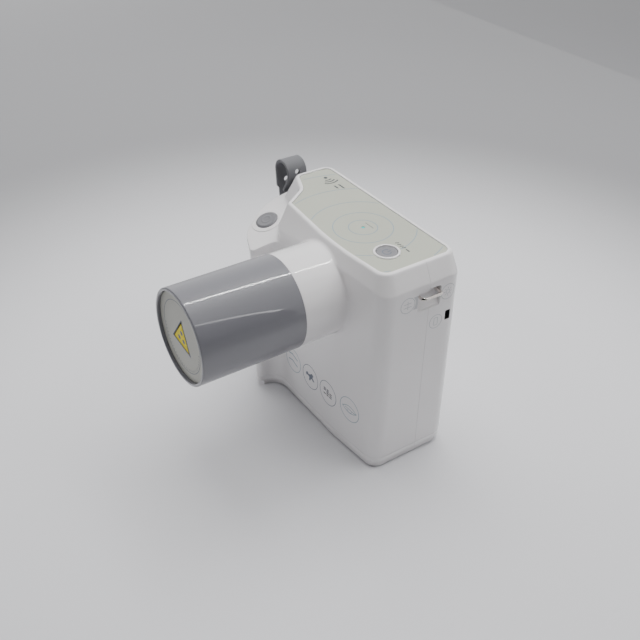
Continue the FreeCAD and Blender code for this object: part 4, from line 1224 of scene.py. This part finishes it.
def build_stage():
    """Wide pale floor with a painted pool of light: greyer away from the object, glowing evenly at the backdrop's
    tone far off.
    """
    shape = bmesh.new()
    bmesh.ops.create_grid(shape, x_segments=8, y_segments=8, size=6.0)
    floor = from_shape("floor", shape)
    paper = bpy.data.materials.new("floor_paper")
    paper.use_nodes = True
    tree = paper.node_tree
    place = tree.nodes.new("ShaderNodeTexCoord")
    away = tree.nodes.new("ShaderNodeVectorMath")
    away.operation = "LENGTH"
    tree.links.new(place.outputs["Object"], away.inputs[0])
    # painted pool of light: the floor's colour is lighter near the object and darkens between 0.24 m and 0.58 m
    # from its centre
    reach = preset(tree.nodes.new("ShaderNodeMapRange"), From_Min=0.24, From_Max=0.58)
    far = preset(tree.nodes.new("ShaderNodeMapRange"), From_Min=0.9, From_Max=2.4, To_Max=BACKDROP)
    for ramp in (reach, far):
        ramp.interpolation_type = "SMOOTHSTEP"
        tree.links.new(away.outputs["Value"], ramp.inputs["Value"])
    painted_light_pool = tree.nodes.new("ShaderNodeValToRGB")
    painted_light_pool.color_ramp.elements[0].color = (0.75, 0.75, 0.775, 1)
    painted_light_pool.color_ramp.elements[1].color = (0.30, 0.30, 0.31, 1)
    tree.links.new(reach.outputs["Result"], painted_light_pool.inputs["Fac"])
    shader = tree.nodes["Principled BSDF"]
    tree.links.new(painted_light_pool.outputs["Color"], shader.inputs["Base Color"])
    preset(shader, Roughness=0.7, Specular_IOR_Level=0.2, Emission_Color=(1.0, 1.0, 1.0, 1))
    tree.links.new(far.outputs["Result"], shader.inputs["Emission Strength"])
    floor.data.materials.append(paper)


def area_light(name, place, target, wide, tall, power, along=(0, 0, 1), mirrored=False):
    """Rectangular light aimed at a point, unseen by the camera; a mirrored one shows only in gloss."""
    lamp = bpy.data.lights.new(name, "AREA")
    lamp.shape = "RECTANGLE"
    lamp.size, lamp.size_y = wide, tall
    lamp.energy = power
    obj = linked(name, lamp)
    back = (Vector(place) - Vector(target)).normalized()
    side = Vector(along).cross(back).normalized()
    turn = Matrix((side, back.cross(side), back)).transposed()
    obj.matrix_world = Matrix.Translation(place) @ turn.to_4x4()
    obj.visible_camera = False
    obj.visible_glossy, obj.visible_diffuse = mirrored, not mirrored


def build_lights():
    """Backdrop seen only by the camera, soft panels, and the sheet, row and strip seen only in gloss."""
    world = bpy.data.worlds.new("studio")
    world.use_nodes = True
    sky = world.node_tree.nodes["Background"]
    preset(sky, Color=(1.0, 1.0, 1.0, 1), Strength=BACKDROP)
    bpy.context.scene.world = world
    seen = world.cycles_visibility
    seen.diffuse, seen.glossy, seen.transmission, seen.scatter = False, False, False, False
    centre = (0, 0, 0.1)
    area_light("overhead", (-0.2, 0.1, 1.5), (-0.2, 0.1, 0), 1.6, 1.0, 22.5, along=(0, 1, 0))
    area_light("overhead_back", (0, 0.75, 1.3), centre, 2.4, 1.0, 17)
    area_light("behind", (0, 1.0, 0.65), (0, 0, 0.4), 3.6, 1.3, 2.5)
    area_light("left", (-1.3, -0.2, 0.7), centre, 1.4, 1.2, 10)
    area_light("front", (0.3, -1.4, 0.9), centre, 2.0, 1.2, 4.6)
    area_light("tent", (-1.38, 0.8, 2.7), (-1.38, 0, 2.7), 6.4, 5.4, TENT_POWER, mirrored=True)
    area_light("thin_strip", (1.0, 0.4, 0.88), (0, -0.1, 0.13), 0.014, 0.75, STRIP_POWER, mirrored=True)
    start, end = Vector((-0.27, 0.18, 1.1)), Vector((0.08, 0.52, 1.1))
    row = (end - start).normalized()
    twist = Matrix.Rotation(math.radians(LAMP_TWIST), 3, "Z")
    for index in range(LAMPS):
        place = start.lerp(end, (index + 0.5) / LAMPS)
        area_light(f"lamp_{index}", place, (0, -0.09, 0.13), 0.006, 0.042, LAMP_POWER, along=twist @ row,
                   mirrored=True)


TENT_POWER = 109.0
STRIP_POWER = 0.25
LAMPS, LAMP_TWIST, LAMP_POWER = 17, 60.0, 0.13


def build_camera():
    lens = bpy.data.cameras.new("camera")
    lens.lens, lens.sensor_width = 48.78, 36.0
    lens.clip_start, lens.clip_end = 0.01, 50
    camera = linked("camera", lens)
    right, forward = Vector((0.5532, 0.8330, 0.01117)), Vector((-0.6715, 0.4539, -0.5858))
    upwards = right.cross(forward)
    turn = Matrix((right, upwards, -forward)).transposed().normalized()
    camera.matrix_world = Matrix.Translation((0.42013, -0.30783, 0.46693)) @ turn.to_4x4()
    bpy.context.scene.camera = camera


build_stage()
build_lights()
build_camera()
